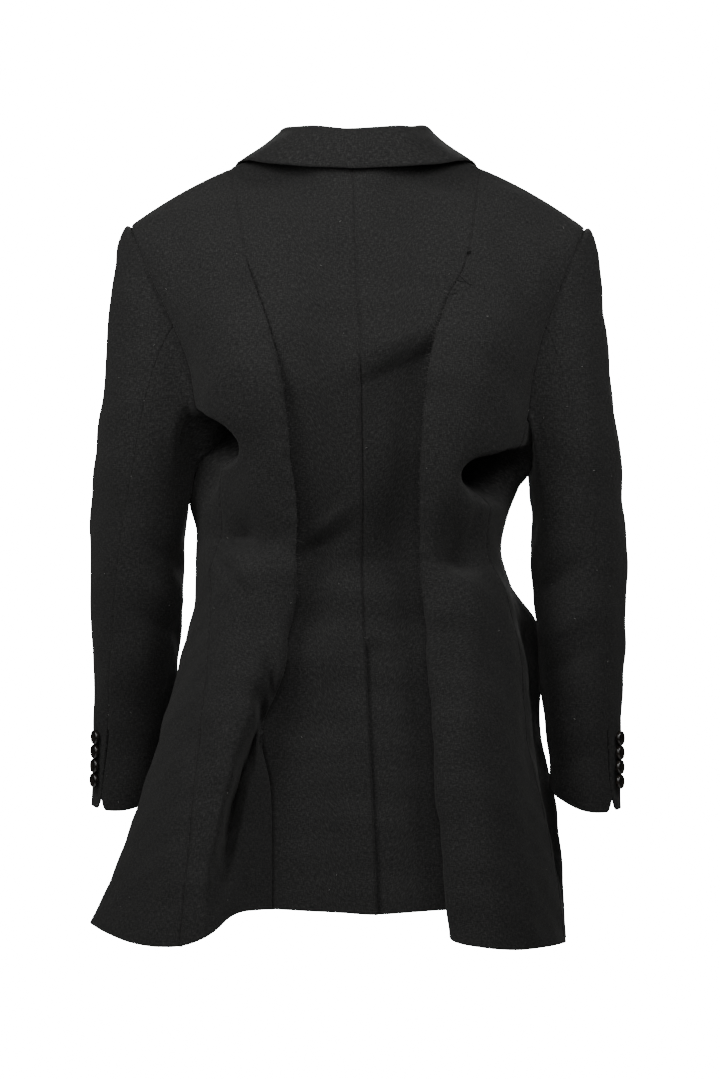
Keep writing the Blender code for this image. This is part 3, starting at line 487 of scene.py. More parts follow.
# Frayed yarn, the knot, loose threads and lint
STRAND_ROUND = 0
FRAY_COUNT = {LEFT: 150, RIGHT: 220}
FRAY_END = -0.430
TUFTS = {
    LEFT: ((-0.392, 0.010, 14), (-0.418, 0.005, 9)),
    RIGHT: ((-0.135, 0.010, 14), (-0.162, 0.012, 18), (-0.196, 0.012, 14), (-0.216, 0.005, 7)),
}
FRAY_CLEAR = 0.004
FRAY_SEED = 3
FRAY_INNER = 6
FRAY_ROOT = 0.001
FRAY_BENDS = 4
FRAY_WANDER = 0.28
FRAY_SPREAD = 0.45
FRAY_RISE = 0.05
FRAY_SHORT = (0.0012, 0.0032)
FRAY_LONG = (0.003, 0.009)
FRAY_RADIUS = 0.00013
THREAD_RADIUS = 0.00022
THREAD_LIFT = 0.0007
KNOT_PLACE = (0.1115, -0.0900)
KNOT_SIZE = (0.0030, 0.0024)
KNOT_LOOPS = 14
KNOT_BENDS = 7
LOOSE_THREADS = (
    ((0.1025, -0.1135), (0.1065, -0.1168), (0.1108, -0.1192), (0.1152, -0.1226)),
    ((0.1000, -0.1160), (0.1030, -0.1178), (0.1062, -0.1186)),
    ((0.0945, -0.1272), (0.0975, -0.1266), (0.1005, -0.1276)),
    ((0.0935, -0.1310), (0.0962, -0.1316), (0.0995, -0.1306)),
)
LINT_PLACES = (
    ("side_left", -0.232, -0.738),
    ("side_left", -0.223, -0.727),
    ("back_side_left", -0.126, -0.730),
    ("sleeve_top_left", -0.236, -0.214),
    ("sleeve_under_right", 0.217, -0.454),
    ("back_side_right", 0.130, -0.153),
    ("back_centre_left", -0.012, -0.170),
    ("back_centre_right", 0.072, -0.242),
    ("back_centre_left", -0.026, -0.720),
)
LINT_PANELS = ("back_side_", "back_centre_", "sleeve_top_", "sleeve_under_")
LINT_COUNT = 6
LINT_FACING = -0.3
LINT_LENGTH = (0.0010, 0.0024)
LINT_RADIUS = 0.00020

# Button: half-section as shares of its radius and half-thickness, holes and thread
BUTTON_PROFILE = (
    (0.0, -1.0), (0.88, -1.0), (0.98, -0.70), (1.0, 0.0), (0.98, 0.60), (0.90, 0.95), (0.82, 1.0),
    (0.72, 0.85), (0.60, 0.45), (0.0, 0.30),
)
BUTTON_SIDES = 36
BUTTON_MERGE = 0.00001
HOLE_REACH = 0.20
HOLE_SIZE = 0.11
HOLE_SIDES = 12
HOLE_LIFT = 0.0001
BAR_RISE = 0.0004
BAR_RADIUS = 0.0004

# Wool, yarn, buttons and paper
WAVE_TURN = 20
YARN_PITCH = 0.0011
YARN_DETAIL = 1.0
YARN_WANDER = 1.2
YARN_WANDER_SCALE = 0.6
NOISE_DETAIL = 2.0
NOISE_ROUGHNESS = 0.5
SLUB_ACROSS = 900.0
SLUB_ALONG = 260.0
FLECKS = 950.0
FLECK_DETAIL = 3.0
FLECK_ROUGHNESS = 0.7
CLOUDS = 14.0
CLOUD_SHARE = 0.12
GRAIN_PARTS = 3
WOOL_TONES = (
    (0.38, (0.0075, 0.0075, 0.0076)), (0.50, (0.0175, 0.0174, 0.0170)), (0.63, (0.038, 0.0376, 0.0366)),
)
WOOL_LOOKS = {"Roughness": 0.88, "Specular IOR Level": 0.22}
WOOL_NAP = {"Sheen Weight": 0.10, "Sheen Roughness": 0.45, "Sheen Tint": (0.55, 0.55, 0.53, 1.0)}
WEAVE_SHARE = 0.9
WOOL_BUMP = 0.60
WOOL_BUMP_DEPTH = 0.0004
YARN_SPOTS = 700.0
YARN_TONES = ((0.30, (0.016, 0.016, 0.016)), (0.70, (0.085, 0.084, 0.080)))
KNOT_TONES = ((0.30, (0.003, 0.003, 0.003)), (0.70, (0.010, 0.010, 0.009)))
LINT_TONES = ((0.30, (0.10, 0.10, 0.098)), (0.70, (0.30, 0.295, 0.28)))
BUTTON_LOOKS = {
    "Roughness": 0.16, "Specular IOR Level": 0.55, "Coat Weight": 0.4, "Coat Roughness": 0.06,
}
BUTTON_CLOUDS = 260.0
BUTTON_CLOUD_DETAIL = 4.0
BUTTON_CLOUD_ROUGHNESS = 0.6
BUTTON_SCRATCHES = 2200.0
BUTTON_TONES = ((0.35, (0.006, 0.005, 0.005)), (0.75, (0.030, 0.024, 0.019)))
BUTTON_BUMP = 0.08
BUTTON_BUMP_DEPTH = 0.0001
PAPER_LOOKS = {"Roughness": 0.9, "Specular IOR Level": 0.2}
PAPER_SPOTS = 6.0
PAPER_TONES = ((0.3, (0.80, 0.80, 0.79)), (0.7, (0.84, 0.84, 0.83)))

# Studio: camera straight behind, white surroundings and large soft lights
SENSOR = 36.0
CAMERA_DISTANCE = 9.0
CAMERA_CLIP = 36.0
CAMERA_AIM = (0.004, -0.04, -0.3745)
FRAME_HEIGHT = 1.079
FLOOR_SIDES = 96
FLOOR_RADIUS = 1.45
FLOOR_LEVEL = -1.42
BACKDROP_STRENGTH = 24.0
AMBIENT_STRENGTH = 0.02
LIGHT_AIM = (0.0, 0.0, -0.25)
LIGHTS = (
    ("left", (-2.0, -1.6, 0.2), 1.4, 8.8),
    ("near_left", (-1.3, -0.9, 0.5), 0.8, 4.4),
    ("close_left", (-0.8, -0.7, 0.45), 0.5, 5.4),
    ("close_right", (0.8, -0.7, 0.45), 0.5, 7.0),
    ("behind_camera", (0.0, -2.6, 0.1), 1.4, 6.0),
    ("over_camera", (0.0, -1.1, 0.3), 0.8, 5.2),
    ("front", (0.2, 2.0, 0.6), 1.4, 30.0),
)


def smooth_curve(knots, values, at):
    """Read a smooth curve through rows of values; knots rise and at may have any shape."""
    knots = np.asarray(knots, float)
    values = np.asarray(values, float)
    at = np.asarray(at, float)
    steps = np.diff(knots)
    slopes = np.diff(values) / steps
    tangents = np.empty_like(values)
    tangents[0] = slopes[0]
    tangents[-1] = slopes[-1]
    tangents[1:-1] = (slopes[:-1] * steps[1:] + slopes[1:] * steps[:-1]) / (steps[1:] + steps[:-1])
    span = np.clip(np.searchsorted(knots, at) - 1, 0, len(steps) - 1)
    t = (at - knots[span]) / steps[span]
    leave = tangents[span] * steps[span]
    arrive = tangents[span + 1] * steps[span]
    return hermite(t, values[span], values[span + 1], leave, arrive)


def hermite(t, start, end, leave, arrive):
    """A cubic from start to end with the given tangents."""
    square = t * t
    cube = square * t
    return (
        (2 * cube - 3 * square + 1) * start + (cube - 2 * square + t) * leave
        + (3 * square - 2 * cube) * end + (cube - square) * arrive
    )


def column(rows, name, level):
    """One column of a level table, eased over a short height."""
    level = np.asarray(level, float)
    reach = np.clip(np.minimum(TOP_LEVEL - level, level - HEM_LEVEL), 0.0, SOFT_REACH)
    eased = 0.0
    for step, weight in SOFT_STEPS:
        eased = eased + weight * smooth_curve(-rows["level"], rows[name], -(level + step * reach))
    return eased


def ramp(value, start, end):
    """A soft step from 0 at start to 1 at end."""
    t = np.clip((value - start) / (end - start), 0.0, 1.0)
    return t * t * (3 - 2 * t)


def shoulder_z(x):
    """Height of the shoulder seam at a distance from the middle."""
    along = (x - NECK_HALF_WIDTH) / SHOULDER_LENGTH
    bow = SHOULDER_BOW * np.clip(4 * along * (1 - along), 0.0, 1.0)
    return NECK_TOP - SHOULDER_SLOPE * (x - NECK_HALF_WIDTH) + bow


def unit(vectors):
    return vectors / np.linalg.norm(vectors, axis=-1, keepdims=True)


def station_line(stations, places):
    """Points on the smooth line through each row's stations, at fractional station numbers."""
    legs = np.diff(stations, axis=1)
    lengths = np.linalg.norm(legs, axis=2)
    slopes = legs / lengths[..., None]
    tangents = np.empty_like(stations)
    tangents[:, 0] = slopes[:, 0]
    tangents[:, -1] = slopes[:, -1]
    before, after = lengths[:, :-1, None], lengths[:, 1:, None]
    tangents[:, 1:-1] = (slopes[:, :-1] * after + slopes[:, 1:] * before) / (before + after)
    span = np.clip(np.floor(places).astype(int), 0, stations.shape[1] - 2)
    t = (places - span)[..., None]
    row = np.arange(len(stations))[:, None]
    length = lengths[row, span][..., None]
    return hermite(
        t, stations[row, span], stations[row, span + 1],
        tangents[row, span] * length, tangents[row, span + 1] * length,
    )


def along_stations(stations, places):
    """The line through the stations, eased so that no station shows as a ridge."""
    reach = np.clip(np.minimum(places, stations.shape[1] - 1 - places), 0.0, SOFT_PLACE)
    eased = 0.0
    for step, weight in SOFT_STEPS:
        eased = eased + weight * station_line(stations, places + step * reach)
    return eased


def side_stations(side, levels):
    """The stations of one side at each level, from the loose back edge round to the front."""
    rows = SIDES[side]
    arm = column(SPINE, "arm", levels)
    below = ramp(levels, HEM_RAMP_TOP, HEM_LEVEL)
    armpit = ARMPIT_DROP * (1 - ramp(levels, ARMPIT_LEVEL, ARMPIT_LEVEL - ARMPIT_RAMP))
    points = np.empty((len(levels), len(STATIONS), 3))
    for number, name in enumerate(STATIONS):
        if name in ("front", "across"):
            turned = -1 if name == "across" else 1
            x, y = turned * column(SPINE, "front_x", levels), column(SPINE, "front_y", levels)
            top_x = x
        elif name == "centre":
            x, y = 0 * levels, column(SPINE, "centre_y", levels)
            top_x = x
        else:
            x, y = column(rows, name + "_x", levels), column(rows, name + "_y", levels)
            top_x = column(rows, name + "_x", TOP_LEVEL)
        drop = -armpit if name == "side" else arm * (shoulder_z(top_x) - TOP_LEVEL)
        z = levels + drop + below * (HEM[side][number] - HEM_LEVEL)
        points[:, number] = np.stack((side * x, y, z), axis=1)
    return points


def crease_depth(rows, x, z):
    """How far a table of creases pushes the cloth in at each point."""
    depth = np.zeros(np.shape(x))
    for middle_x, middle_z, half_x, half_up, half_down, lean, push, form in zip(*rows.values()):
        along = x - middle_x
        across = z - middle_z - lean * along
        ends = (along / half_x) ** 2
        rise = (across / np.where(across > 0, half_up, half_down)) ** 2
        depth += push * np.exp(-(ends + rise) ** form if form >= 1 else -ends - rise ** form)
    return depth


def side_outward(side, places, levels):
    """Outward directions of the side-back, side and front panels before their creases."""
    high = np.minimum(levels + LEVEL_STEP, TOP_LEVEL)
    low = np.maximum(levels - LEVEL_STEP, HEM_LEVEL)
    stations = side_stations(side, levels)
    across = along_stations(stations, places + PLACE_STEP) - along_stations(stations, places - PLACE_STEP)
    upward = side_form(side, places, high) - side_form(side, places, low)
    return side * unit(np.cross(across, upward))


def side_form(side, places, levels):
    """Outer form of the side-back, side and front panels before creases; tops meet at the shoulder."""
    points = along_stations(side_stations(side, levels), places)
    top = along_stations(side_stations(side, np.full(len(levels), TOP_LEVEL)), places)
    fade = ramp(levels, TOP_LEVEL - SHOULDER_FADE, TOP_LEVEL)[:, None]
    points[..., 2] += fade * (shoulder_z(np.abs(top[..., 0])) - top[..., 2])
    return points


def side_surface(side, places, levels):
    """Outer surface of the side-back, side and front panels with their creases."""
    points = side_form(side, places, levels)
    x, y, z = side * points[..., 0], points[..., 1], points[..., 2]
    depth = ramp(y, *FOLD_BACK_Y) * crease_depth(BACK_FOLDS[side], x, z)
    depth = depth + ramp(y, *FOLD_FRONT_Y) * crease_depth(FRONT_FOLDS[side], x, z)
    depth = depth + ramp(np.abs(y), *SIDE_FOLD_Y) * crease_depth(SIDE_FOLDS[side], y, z)
    freed = ramp(places, EDGE, FOLD_FULL_PLACE)
    points = points - side_outward(side, places, levels) * (depth * freed)[..., None]
    if side == LEFT:
        freed = freed * ramp(y, *FOLD_BACK_Y)
        points[..., 1] += freed * crease_depth(FLUTE_VALLEY, x, z)
        points[..., 0] += freed * crease_depth(FLUTE_ROLL, x, z)
    return points


def tuck_stations(side, levels):
    """Outer end of the centre back: sewn to the side back or lying under its loose edge."""
    released = RELEASE_LEVEL - DIP_LENGTH
    opened = ramp(levels, released, released - TUCK_LENGTH)
    free = opened * ramp(levels, JOIN_LEVEL, JOIN_LEVEL + TUCK_LENGTH)
    lift = np.maximum(column(LIFT, "lift", levels), 0.0) * ramp(levels, JOIN_LEVEL, JOIN_LEVEL + JOIN_RISE)
    lift = np.where(levels > RELEASE_LEVEL, 0.0, lift)
    tuck = side_stations(side, levels)[:, EDGE]
    tuck[:, 0] += side * (TUCK_WIDTH * free)
    tuck[:, 1] += lift
    return tuck


def centre_stations(levels):
    """Centre back from the left end over the middle to the right end."""
    below = ramp(levels, HEM_RAMP_TOP, HEM_LEVEL)
    neck = ramp(levels, NECK_FADE, TOP_LEVEL)[:, None]
    middle = np.stack((column(SPINE, "back_x", levels), column(SPINE, "back_y", levels), levels), axis=1)
    middle[:, 2] += (NECK_BACK_Z - TOP_LEVEL) * neck[:, 0] + below * (HEM_BACK - HEM_LEVEL)
    line = []
    for side in (LEFT, RIGHT):
        end = tuck_stations(side, levels)
        half = middle + CENTRE_HALF_SHARE * (end - middle)
        inner = middle + CENTRE_INNER_SHARE * (end - middle)
        corner = np.array((side * NECK_HALF_WIDTH, 0.0, NECK_TOP))
        quarter = np.array(NECK_QUARTER) * (side, 1, 1)
        line.append((end, half * (1 - neck) + corner * neck, inner * (1 - neck) + quarter * neck))
    left_line, right_line = line
    return np.stack((*left_line, middle, *right_line[::-1]), axis=1)


def roll_x(level):
    """Distance of the roll line or front edge from the middle, on the panel's own side."""
    fall = np.clip((TOP_LEVEL - level) / (TOP_LEVEL - BREAK_LEVEL), 0.0, 1.0)
    return NECK_HALF_WIDTH + (-FRONT_OVERLAP - NECK_HALF_WIDTH) * fall


def front_places(side, levels, target):
    """Fractional stations at which the front reaches the given distances from the middle."""
    low = np.full(target.shape, float(FRONT_SEAM))
    high = np.full(target.shape, float(ACROSS))
    stations = side_stations(side, levels)
    for _ in range(HALVINGS):
        half = (low + high) / 2
        reached = side * station_line(stations, half)[..., 0]
        low = np.where(reached > target, half, low)
        high = np.where(reached > target, high, half)
    return (low + high) / 2


def front_surface(side, places, levels):
    """The front; the left one lies under the right one where they lap."""
    points = side_surface(side, places, levels)
    if side == LEFT:
        lapped = ramp(-points[..., 0], *LAY_UNDER_X) * ramp(points[..., 2], *LAY_UNDER_Z)
        points[..., 1] -= LAY_UNDER * lapped
    return points


def running_length(points, axis):
    """Length of the cloth from the first row or column of a grid to each point."""
    steps = np.linalg.norm(np.diff(points, axis=axis), axis=2)
    start = np.zeros_like(np.take(steps, [0], axis=axis))
    return np.cumsum(np.concatenate((start, steps), axis=axis), axis=axis)


def directions(points, turn):
    """Outward directions of a grid of points; turn says which way its columns run."""
    return turn * unit(np.cross(np.gradient(points, axis=1), np.gradient(points, axis=0)))


def calm(points):
    """Share of the unevenness that a point keeps: none where panels meet at an angle."""
    nearest = np.full(points.shape[:-1], np.inf)
    along = np.linspace(NECK_HALF_WIDTH, NECK_HALF_WIDTH + SHOULDER_LENGTH, CALM_LINE)
    joined = np.linspace(JOIN_LEVEL, HEM_LEVEL, CALM_LINE)
    for side in (LEFT, RIGHT):
        ring = armhole(side, np.linspace(0.0, ARM_LOOP, CALM_RING))
        shoulder = np.stack((side * along, 0 * along, shoulder_z(along)), axis=1)
        for spot in (*ring, *shoulder, *side_stations(side, joined)[:, EDGE]):
            nearest = np.minimum(nearest, ((points - spot) ** 2).sum(axis=-1))
    return ramp(np.sqrt(nearest), 0.0, CALM_REACH)


def unevenness(points):
    """Slow, uneven swell of hanging cloth, the same for every panel."""
    chance = np.random.default_rng(SEED)
    total = np.zeros(points.shape[:-1])
    for _ in range(UNEVEN_WAVES):
        way = unit(chance.normal(size=3))
        wave = chance.uniform(*UNEVEN_LENGTHS)
        total += np.sin(2 * math.pi * (points @ way) / wave + chance.uniform(0, 2 * math.pi))
    return UNEVEN * total * calm(points)


def shares(count):
    """Shares from 0 to 1 that lie closer together towards both ends."""
    even = np.linspace(0.0, 1.0, count)
    return even - COLUMN_CROWD * np.sin(2 * math.pi * even) / (2 * math.pi)


def levels_down(top, count):
    """Even levels from the top of a panel to the hem."""
    return top + (HEM_LEVEL - top) * np.linspace(0.0, 1.0, count)


def sleeve_grain(points, side):
    """Place of each point on a sleeve's cloth in metres, with the threads level and upright."""
    x, y, z = side * points[..., 0], points[..., 1], points[..., 2]
    angle = np.arctan2(y - sleeve_column(side, "y", z), x - sleeve_column(side, "x", z))
    return np.stack((SLEEVE_RADIUS * np.unwrap(angle, axis=1), z), axis=2)


def grain(points):
    """Place of each point on its cloth in metres, with the threads level and upright."""
    spans = [np.ptp(np.take(points, [0, -1], axis=axis)[..., 2], axis=axis).mean() for axis in (0, 1)]
    down_axis = int(np.argmax(spans))
    across_axis = 1 - down_axis
    first, last = (np.take(points, [end], axis=across_axis)[..., 0] for end in (0, -1))
    way = np.sign((last - first).mean())
    level = first + way * running_length(points * LEVEL_WAY, across_axis)
    upright = np.take(points, [0], axis=down_axis)[..., 2] - running_length(points * UPRIGHT_WAY, down_axis)
    return np.stack((level, upright), axis=2)


def collar_grain(points):
    """Place of each point on the collar's cloth in metres, along its middle line and across it."""
    across = running_length(points, 1)
    along = running_length(points, 0)[:, [COLLAR_COLUMNS // 2]]
    return np.stack((np.broadcast_to(along, across.shape), across), axis=2)


def mesh_of(name, shape):
    """A mesh with the faces of a shape, which is then let go."""
    data = bpy.data.meshes.new(name)
    shape.to_mesh(data)
    shape.free()
    return data


def placed(name, data):
    """An object with the given data, put into the scene."""
    made = bpy.data.objects.new(name, data)
    bpy.context.scene.collection.objects.link(made)
    return made


def cloth_grid(name, points, turn, threads, material):
    """A mesh grid at the given points, with a UV map in metres of cloth, facing outwards."""
    rows, columns = points.shape[:2]
    grid = bmesh.new()
    grid.loops.layers.uv.new("cloth")
    bmesh.ops.create_grid(grid, x_segments=columns - 1, y_segments=rows - 1, size=1.0, calc_uvs=True)
    data = mesh_of(name, grid)
    flat = np.empty(len(data.vertices) * 3)
    data.vertices.foreach_get("co", flat)
    spots = (flat.reshape(-1, 3)[:, :2] + 1) / 2
    across = np.rint(spots[:, 0] * (columns - 1)).astype(int)
    down = np.rint(spots[:, 1] * (rows - 1)).astype(int)
    data.vertices.foreach_set("co", points[down, across].ravel())
    corners = np.empty(len(data.loops), int)
    data.loops.foreach_get("vertex_index", corners)
    data.uv_layers["cloth"].data.foreach_set("uv", threads[down, across][corners].ravel())
    data.update()
    face = data.polygons[len(data.polygons) // 2]
    nearest = face.vertices[0]
    outward = directions(points, turn)[down[nearest], across[nearest]]
    if face.normal.dot(Vector(outward)) < 0:
        data.flip_normals()
    data.shade_smooth()
    data.materials.append(material)
    return placed(name, data)


def groove(reach, width=SEAM_WIDTH):
    """How far a seam pulls the cloth in at a distance from it."""
    return SEAM_DIP * np.exp(-((reach / width) ** 2))


def sewn(points, turn, seams):
    """Pull the cloth in along its seams: the share of each edge that is sewn, 1 for all of it."""
    across, down = running_length(points, 1), running_length(points, 0)
    reach = {"first_column": across, "last_column": across[:, -1:] - across, "first_row": down}
    dip = sum(share * groove(reach[seam]) for seam, share in seams.items())
    return points - directions(points, turn) * dip[..., None]


def turned_under(points, turn, edge, width):
    """Lengthen a panel past a sewn edge, with a turning that lies under its neighbour."""
    outward = directions(points, turn)
    if edge != "first_row":
        points, outward = points.swapaxes(0, 1), outward.swapaxes(0, 1)
    if edge == "last_column":
        points, outward = points[::-1], outward[::-1]
    off = unit(points[0] - points[TURNING_INNER])
    turning = [points[0] + off * (reach * width) - outward[0] * sink for reach, sink in TURNING]
    points = np.concatenate((np.stack(turning[::-1]), points))
    if edge == "last_column":
        points = points[::-1]
    return points if edge == "first_row" else points.swapaxes(0, 1)


def panel(
    node, points, turn, form=None, seams=None, turnings=(), wide=(), lay=grain,
):
    """A cut and sewn panel of wool that stands for its node; its threads are laid on its form."""
    form = points if form is None else form
    points = points + directions(points, turn) * unevenness(points)[..., None]
    if seams:
        points = sewn(points, turn, seams)
    for edge in turnings:
        width = WIDE_TURNING if edge in wide else 1.0
        points = turned_under(points, turn, edge, width)
        form = turned_under(form, turn, edge, width)
    surfaces[node] = points, directions(points, turn)
    piece = cloth_grid("wool_" + node, points, turn, lay(form), wool)
    wall = piece.modifiers.new("wall", "SOLIDIFY")
    wall.thickness = CLOTH_THICK
    wall.offset = -1.0
    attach(piece, "root")
    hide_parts(node)
    width, length = running_length(points, 1)[:, -1].max(), running_length(points, 0)[-1].max()


def held_share(levels):
    """Where the side back is sewn to the centre back, above and below its loose edge."""
    above = 1 - ramp(levels, RELEASE_LEVEL, RELEASE_LEVEL - DIP_LENGTH)
    below = ramp(levels, JOIN_LEVEL, JOIN_LEVEL - JOIN_RISE)
    return (above + below)[:, None]


def back_side(side):
    """Side-back panel, with a raw loose edge that curls a little."""
    levels = levels_down(TOP_LEVEL, BACK_ROWS)
    stations = np.interp(shares(BACK_SIDE_COLUMNS), BACK_SIDE_SHARES, BACK_SIDE_STATIONS)
    places = np.tile(stations, (BACK_ROWS, 1))
    points = side_surface(side, places, levels)
    across = running_length(points, 1)
    loose = 1 - held_share(levels)
    chance = np.random.default_rng(SEED + side)
    blend = np.hanning(WANDER_ROWS) / np.hanning(WANDER_ROWS).sum() * WANDER_GAIN
    wander = np.convolve(chance.normal(size=BACK_ROWS), blend, "same")[:, None]
    curled = loose * ramp(levels, *RAW_CURL_END)[:, None]
    curl = RAW_CURL * curled * np.exp(-((across / RAW_CURL_WIDTH) ** 2))
    uneven_cut = RAW_WANDER * curled * np.exp(-((across / RAW_CUT_WIDTH) ** 2))
    lift = curl * (RAW_CURL_LEAST + (1 - RAW_CURL_LEAST) * wander)
    points += directions(points, -side) * lift[..., None]
    points[..., 0] -= side * wander * uneven_cut
    if side == RIGHT:
        line = np.interp(-points[..., 2], -STITCH_LINE["z"], STITCH_LINE["x"])
        ends = -STITCH_LINE["z"][[0, -1]]
        inside = np.minimum(-points[..., 2] - ends[0], ends[1] + points[..., 2])
        beside = points[..., 0] - line
        ridge = STITCH_RIDGE * np.exp(-np.abs(beside) / STITCH_RIDGE_WIDTH)
        dip = (groove(beside) - ridge) * ramp(inside, 0.0, STITCH_FADE)
        points -= directions(points, -side) * dip[..., None]
    name = SIDE_NAMES[side]
    threads = fray(side, points)
    seams = {"first_column": held_share(levels), "last_column": 1.0, "first_row": 1.0}
    form = side_form(side, places, levels)
    panel("back_side_" + name, points, -side, form, seams)


def back_centre(side):
    """One half of the centre back; the right one goes on under the left one at the vent."""
    levels = levels_down(TOP_LEVEL, BACK_ROWS)
    start = np.full((BACK_ROWS, 1), float(CENTRE_MIDDLE))
    dip = np.zeros((BACK_ROWS, 1))
    if side == RIGHT:
        open_share = ramp(levels, VENT_TOP + VENT_RAMP, VENT_TOP)[:, None]
        start = start - VENT_UNDERLAP * open_share
        dip = VENT_DIP * open_share
    places = start + (CENTRE_ENDS[side] - start) * shares(CENTRE_COLUMNS)
    points = along_stations(centre_stations(levels), places)
    points[0, :, 1] = np.minimum(points[0, :, 1], 0.0)
    form = points.copy()
    near = np.clip((places - CENTRE_MIDDLE) / VENT_REACH, 0.0, 1.0)
    points[..., 1] += dip * (1 - near) ** 2 + crease_depth(CENTRE_FOLDS, points[..., 0], points[..., 2])
    drawn_in = 1 + CENTRE_SEAM_MORE * ramp(levels, *CENTRE_SEAM_FROM)[:, None]
    seams = {"first_column": drawn_in, "last_column": held_share(levels)}
    turnings = ("first_column", "last_column") if side == RIGHT else ("last_column",)
    name = SIDE_NAMES[side]
    panel("back_centre_" + name, points, -side, form, seams, turnings, ["last_column"])


def side_body(side):
    """Panel under the arm, between the side-back seam and the front."""
    levels = levels_down(ARMPIT_LEVEL, SIDE_ROWS)
    places = np.tile(SEAM + (FRONT_SEAM - SEAM) * shares(SIDE_COLUMNS_SHOWN), (SIDE_ROWS, 1))
    points = side_surface(side, places, levels)
    name = SIDE_NAMES[side]
    seams = {"first_column": 1.0, "last_column": 1.0, "first_row": 1.0}
    turnings = ("first_column", "last_column")
    form = side_form(side, places, levels)
    panel("side_" + name, points, -side, form, seams, turnings)


def front(side):
    """Front panel, from the side seam to the roll line and the front edge."""
    levels = levels_down(TOP_LEVEL, FRONT_ROWS)
    edge = front_places(side, levels, roll_x(levels)[:, None])
    places = FRONT_SEAM + (edge - FRONT_SEAM) * shares(FRONT_COLUMNS)
    points = front_surface(side, places, levels)
    name = SIDE_NAMES[side]
    seams = {"first_column": 1.0, "first_row": 1.0}
    form = side_form(side, places, levels)
    panel("front_" + name, points, -side, form, seams)


def lapel(side):
    """The turned-back lapel, lying on its front."""
    bottom = BREAK_LEVEL if side == RIGHT else LEFT_LAPEL_END
    levels = np.linspace(LAPEL_TOP, bottom + LAPEL_CLEAR, LAPEL_ROWS)
    width = column(LAPEL, "width", levels)
    if side == LEFT:
        width = width * (1 - LEFT_LAPEL_TAPER * ramp(levels, LEFT_LAPEL_TAPER_TOP, bottom))
    share = 1 - shares(LAPEL_COLUMNS)
    target = (roll_x(levels) + LAPEL_INSET)[:, None] + width[:, None] * share
    points = front_surface(side, front_places(side, levels, target), levels)
    lift = WALL + LAPEL_SEAT + (LAPEL_LIFT - LAPEL_SEAT) * ramp(share, 0.0, LAPEL_SEAT_SHARE)
    points = points + directions(points, -side) * lift[None, :, None]
    name = SIDE_NAMES[side]
    panel("lapel_" + name, points, -side)


def armhole_places(index):
    """Stations and levels of the armhole at places counted round it."""
    index = index % ARM_LOOP
    back = np.interp(index, np.arange(len(ARM_LEVELS)), ARM_LEVELS)
    fore = np.interp(ARM_LOOP - index, np.arange(len(ARM_LEVELS)), ARM_LEVELS)
    levels = np.where(index < ARM_LOOP / 2, back, fore)
    places = np.interp(index, (len(ARM_LEVELS) - 1, ARM_LOOP - len(ARM_LEVELS) + 1), (SEAM, FRONT_SEAM))
    return places[:, None], levels


def armhole(side, index):
    """Points of an armhole: down the back, under the arm and up the front."""
    return side_surface(side, *armhole_places(index))[:, 0]


def sleeve_column(side, name, z):
    rows = SLEEVES[side]
    return smooth_curve(-rows["z"], rows[name], -np.asarray(z, float))


def tube(side, turns, z):
    """A point on the sleeve's tube; turn 0 is outermost and a quarter turn is the back."""
    angle = 2 * math.pi * turns
    x = sleeve_column(side, "x", z) + sleeve_column(side, "half_x", z) * np.cos(angle)
    y = sleeve_column(side, "y", z) - sleeve_column(side, "half_y", z) * np.sin(angle)
    return np.stack((side * x, y, z), axis=-1)


def sleeve_seam(name, z):
    """The turn at which a sleeve seam lies, at a height."""
    heights = SEAM_TURNS["z"]
    return smooth_curve(-heights, SEAM_TURNS[name], -np.clip(z, heights[-1], heights[0]))


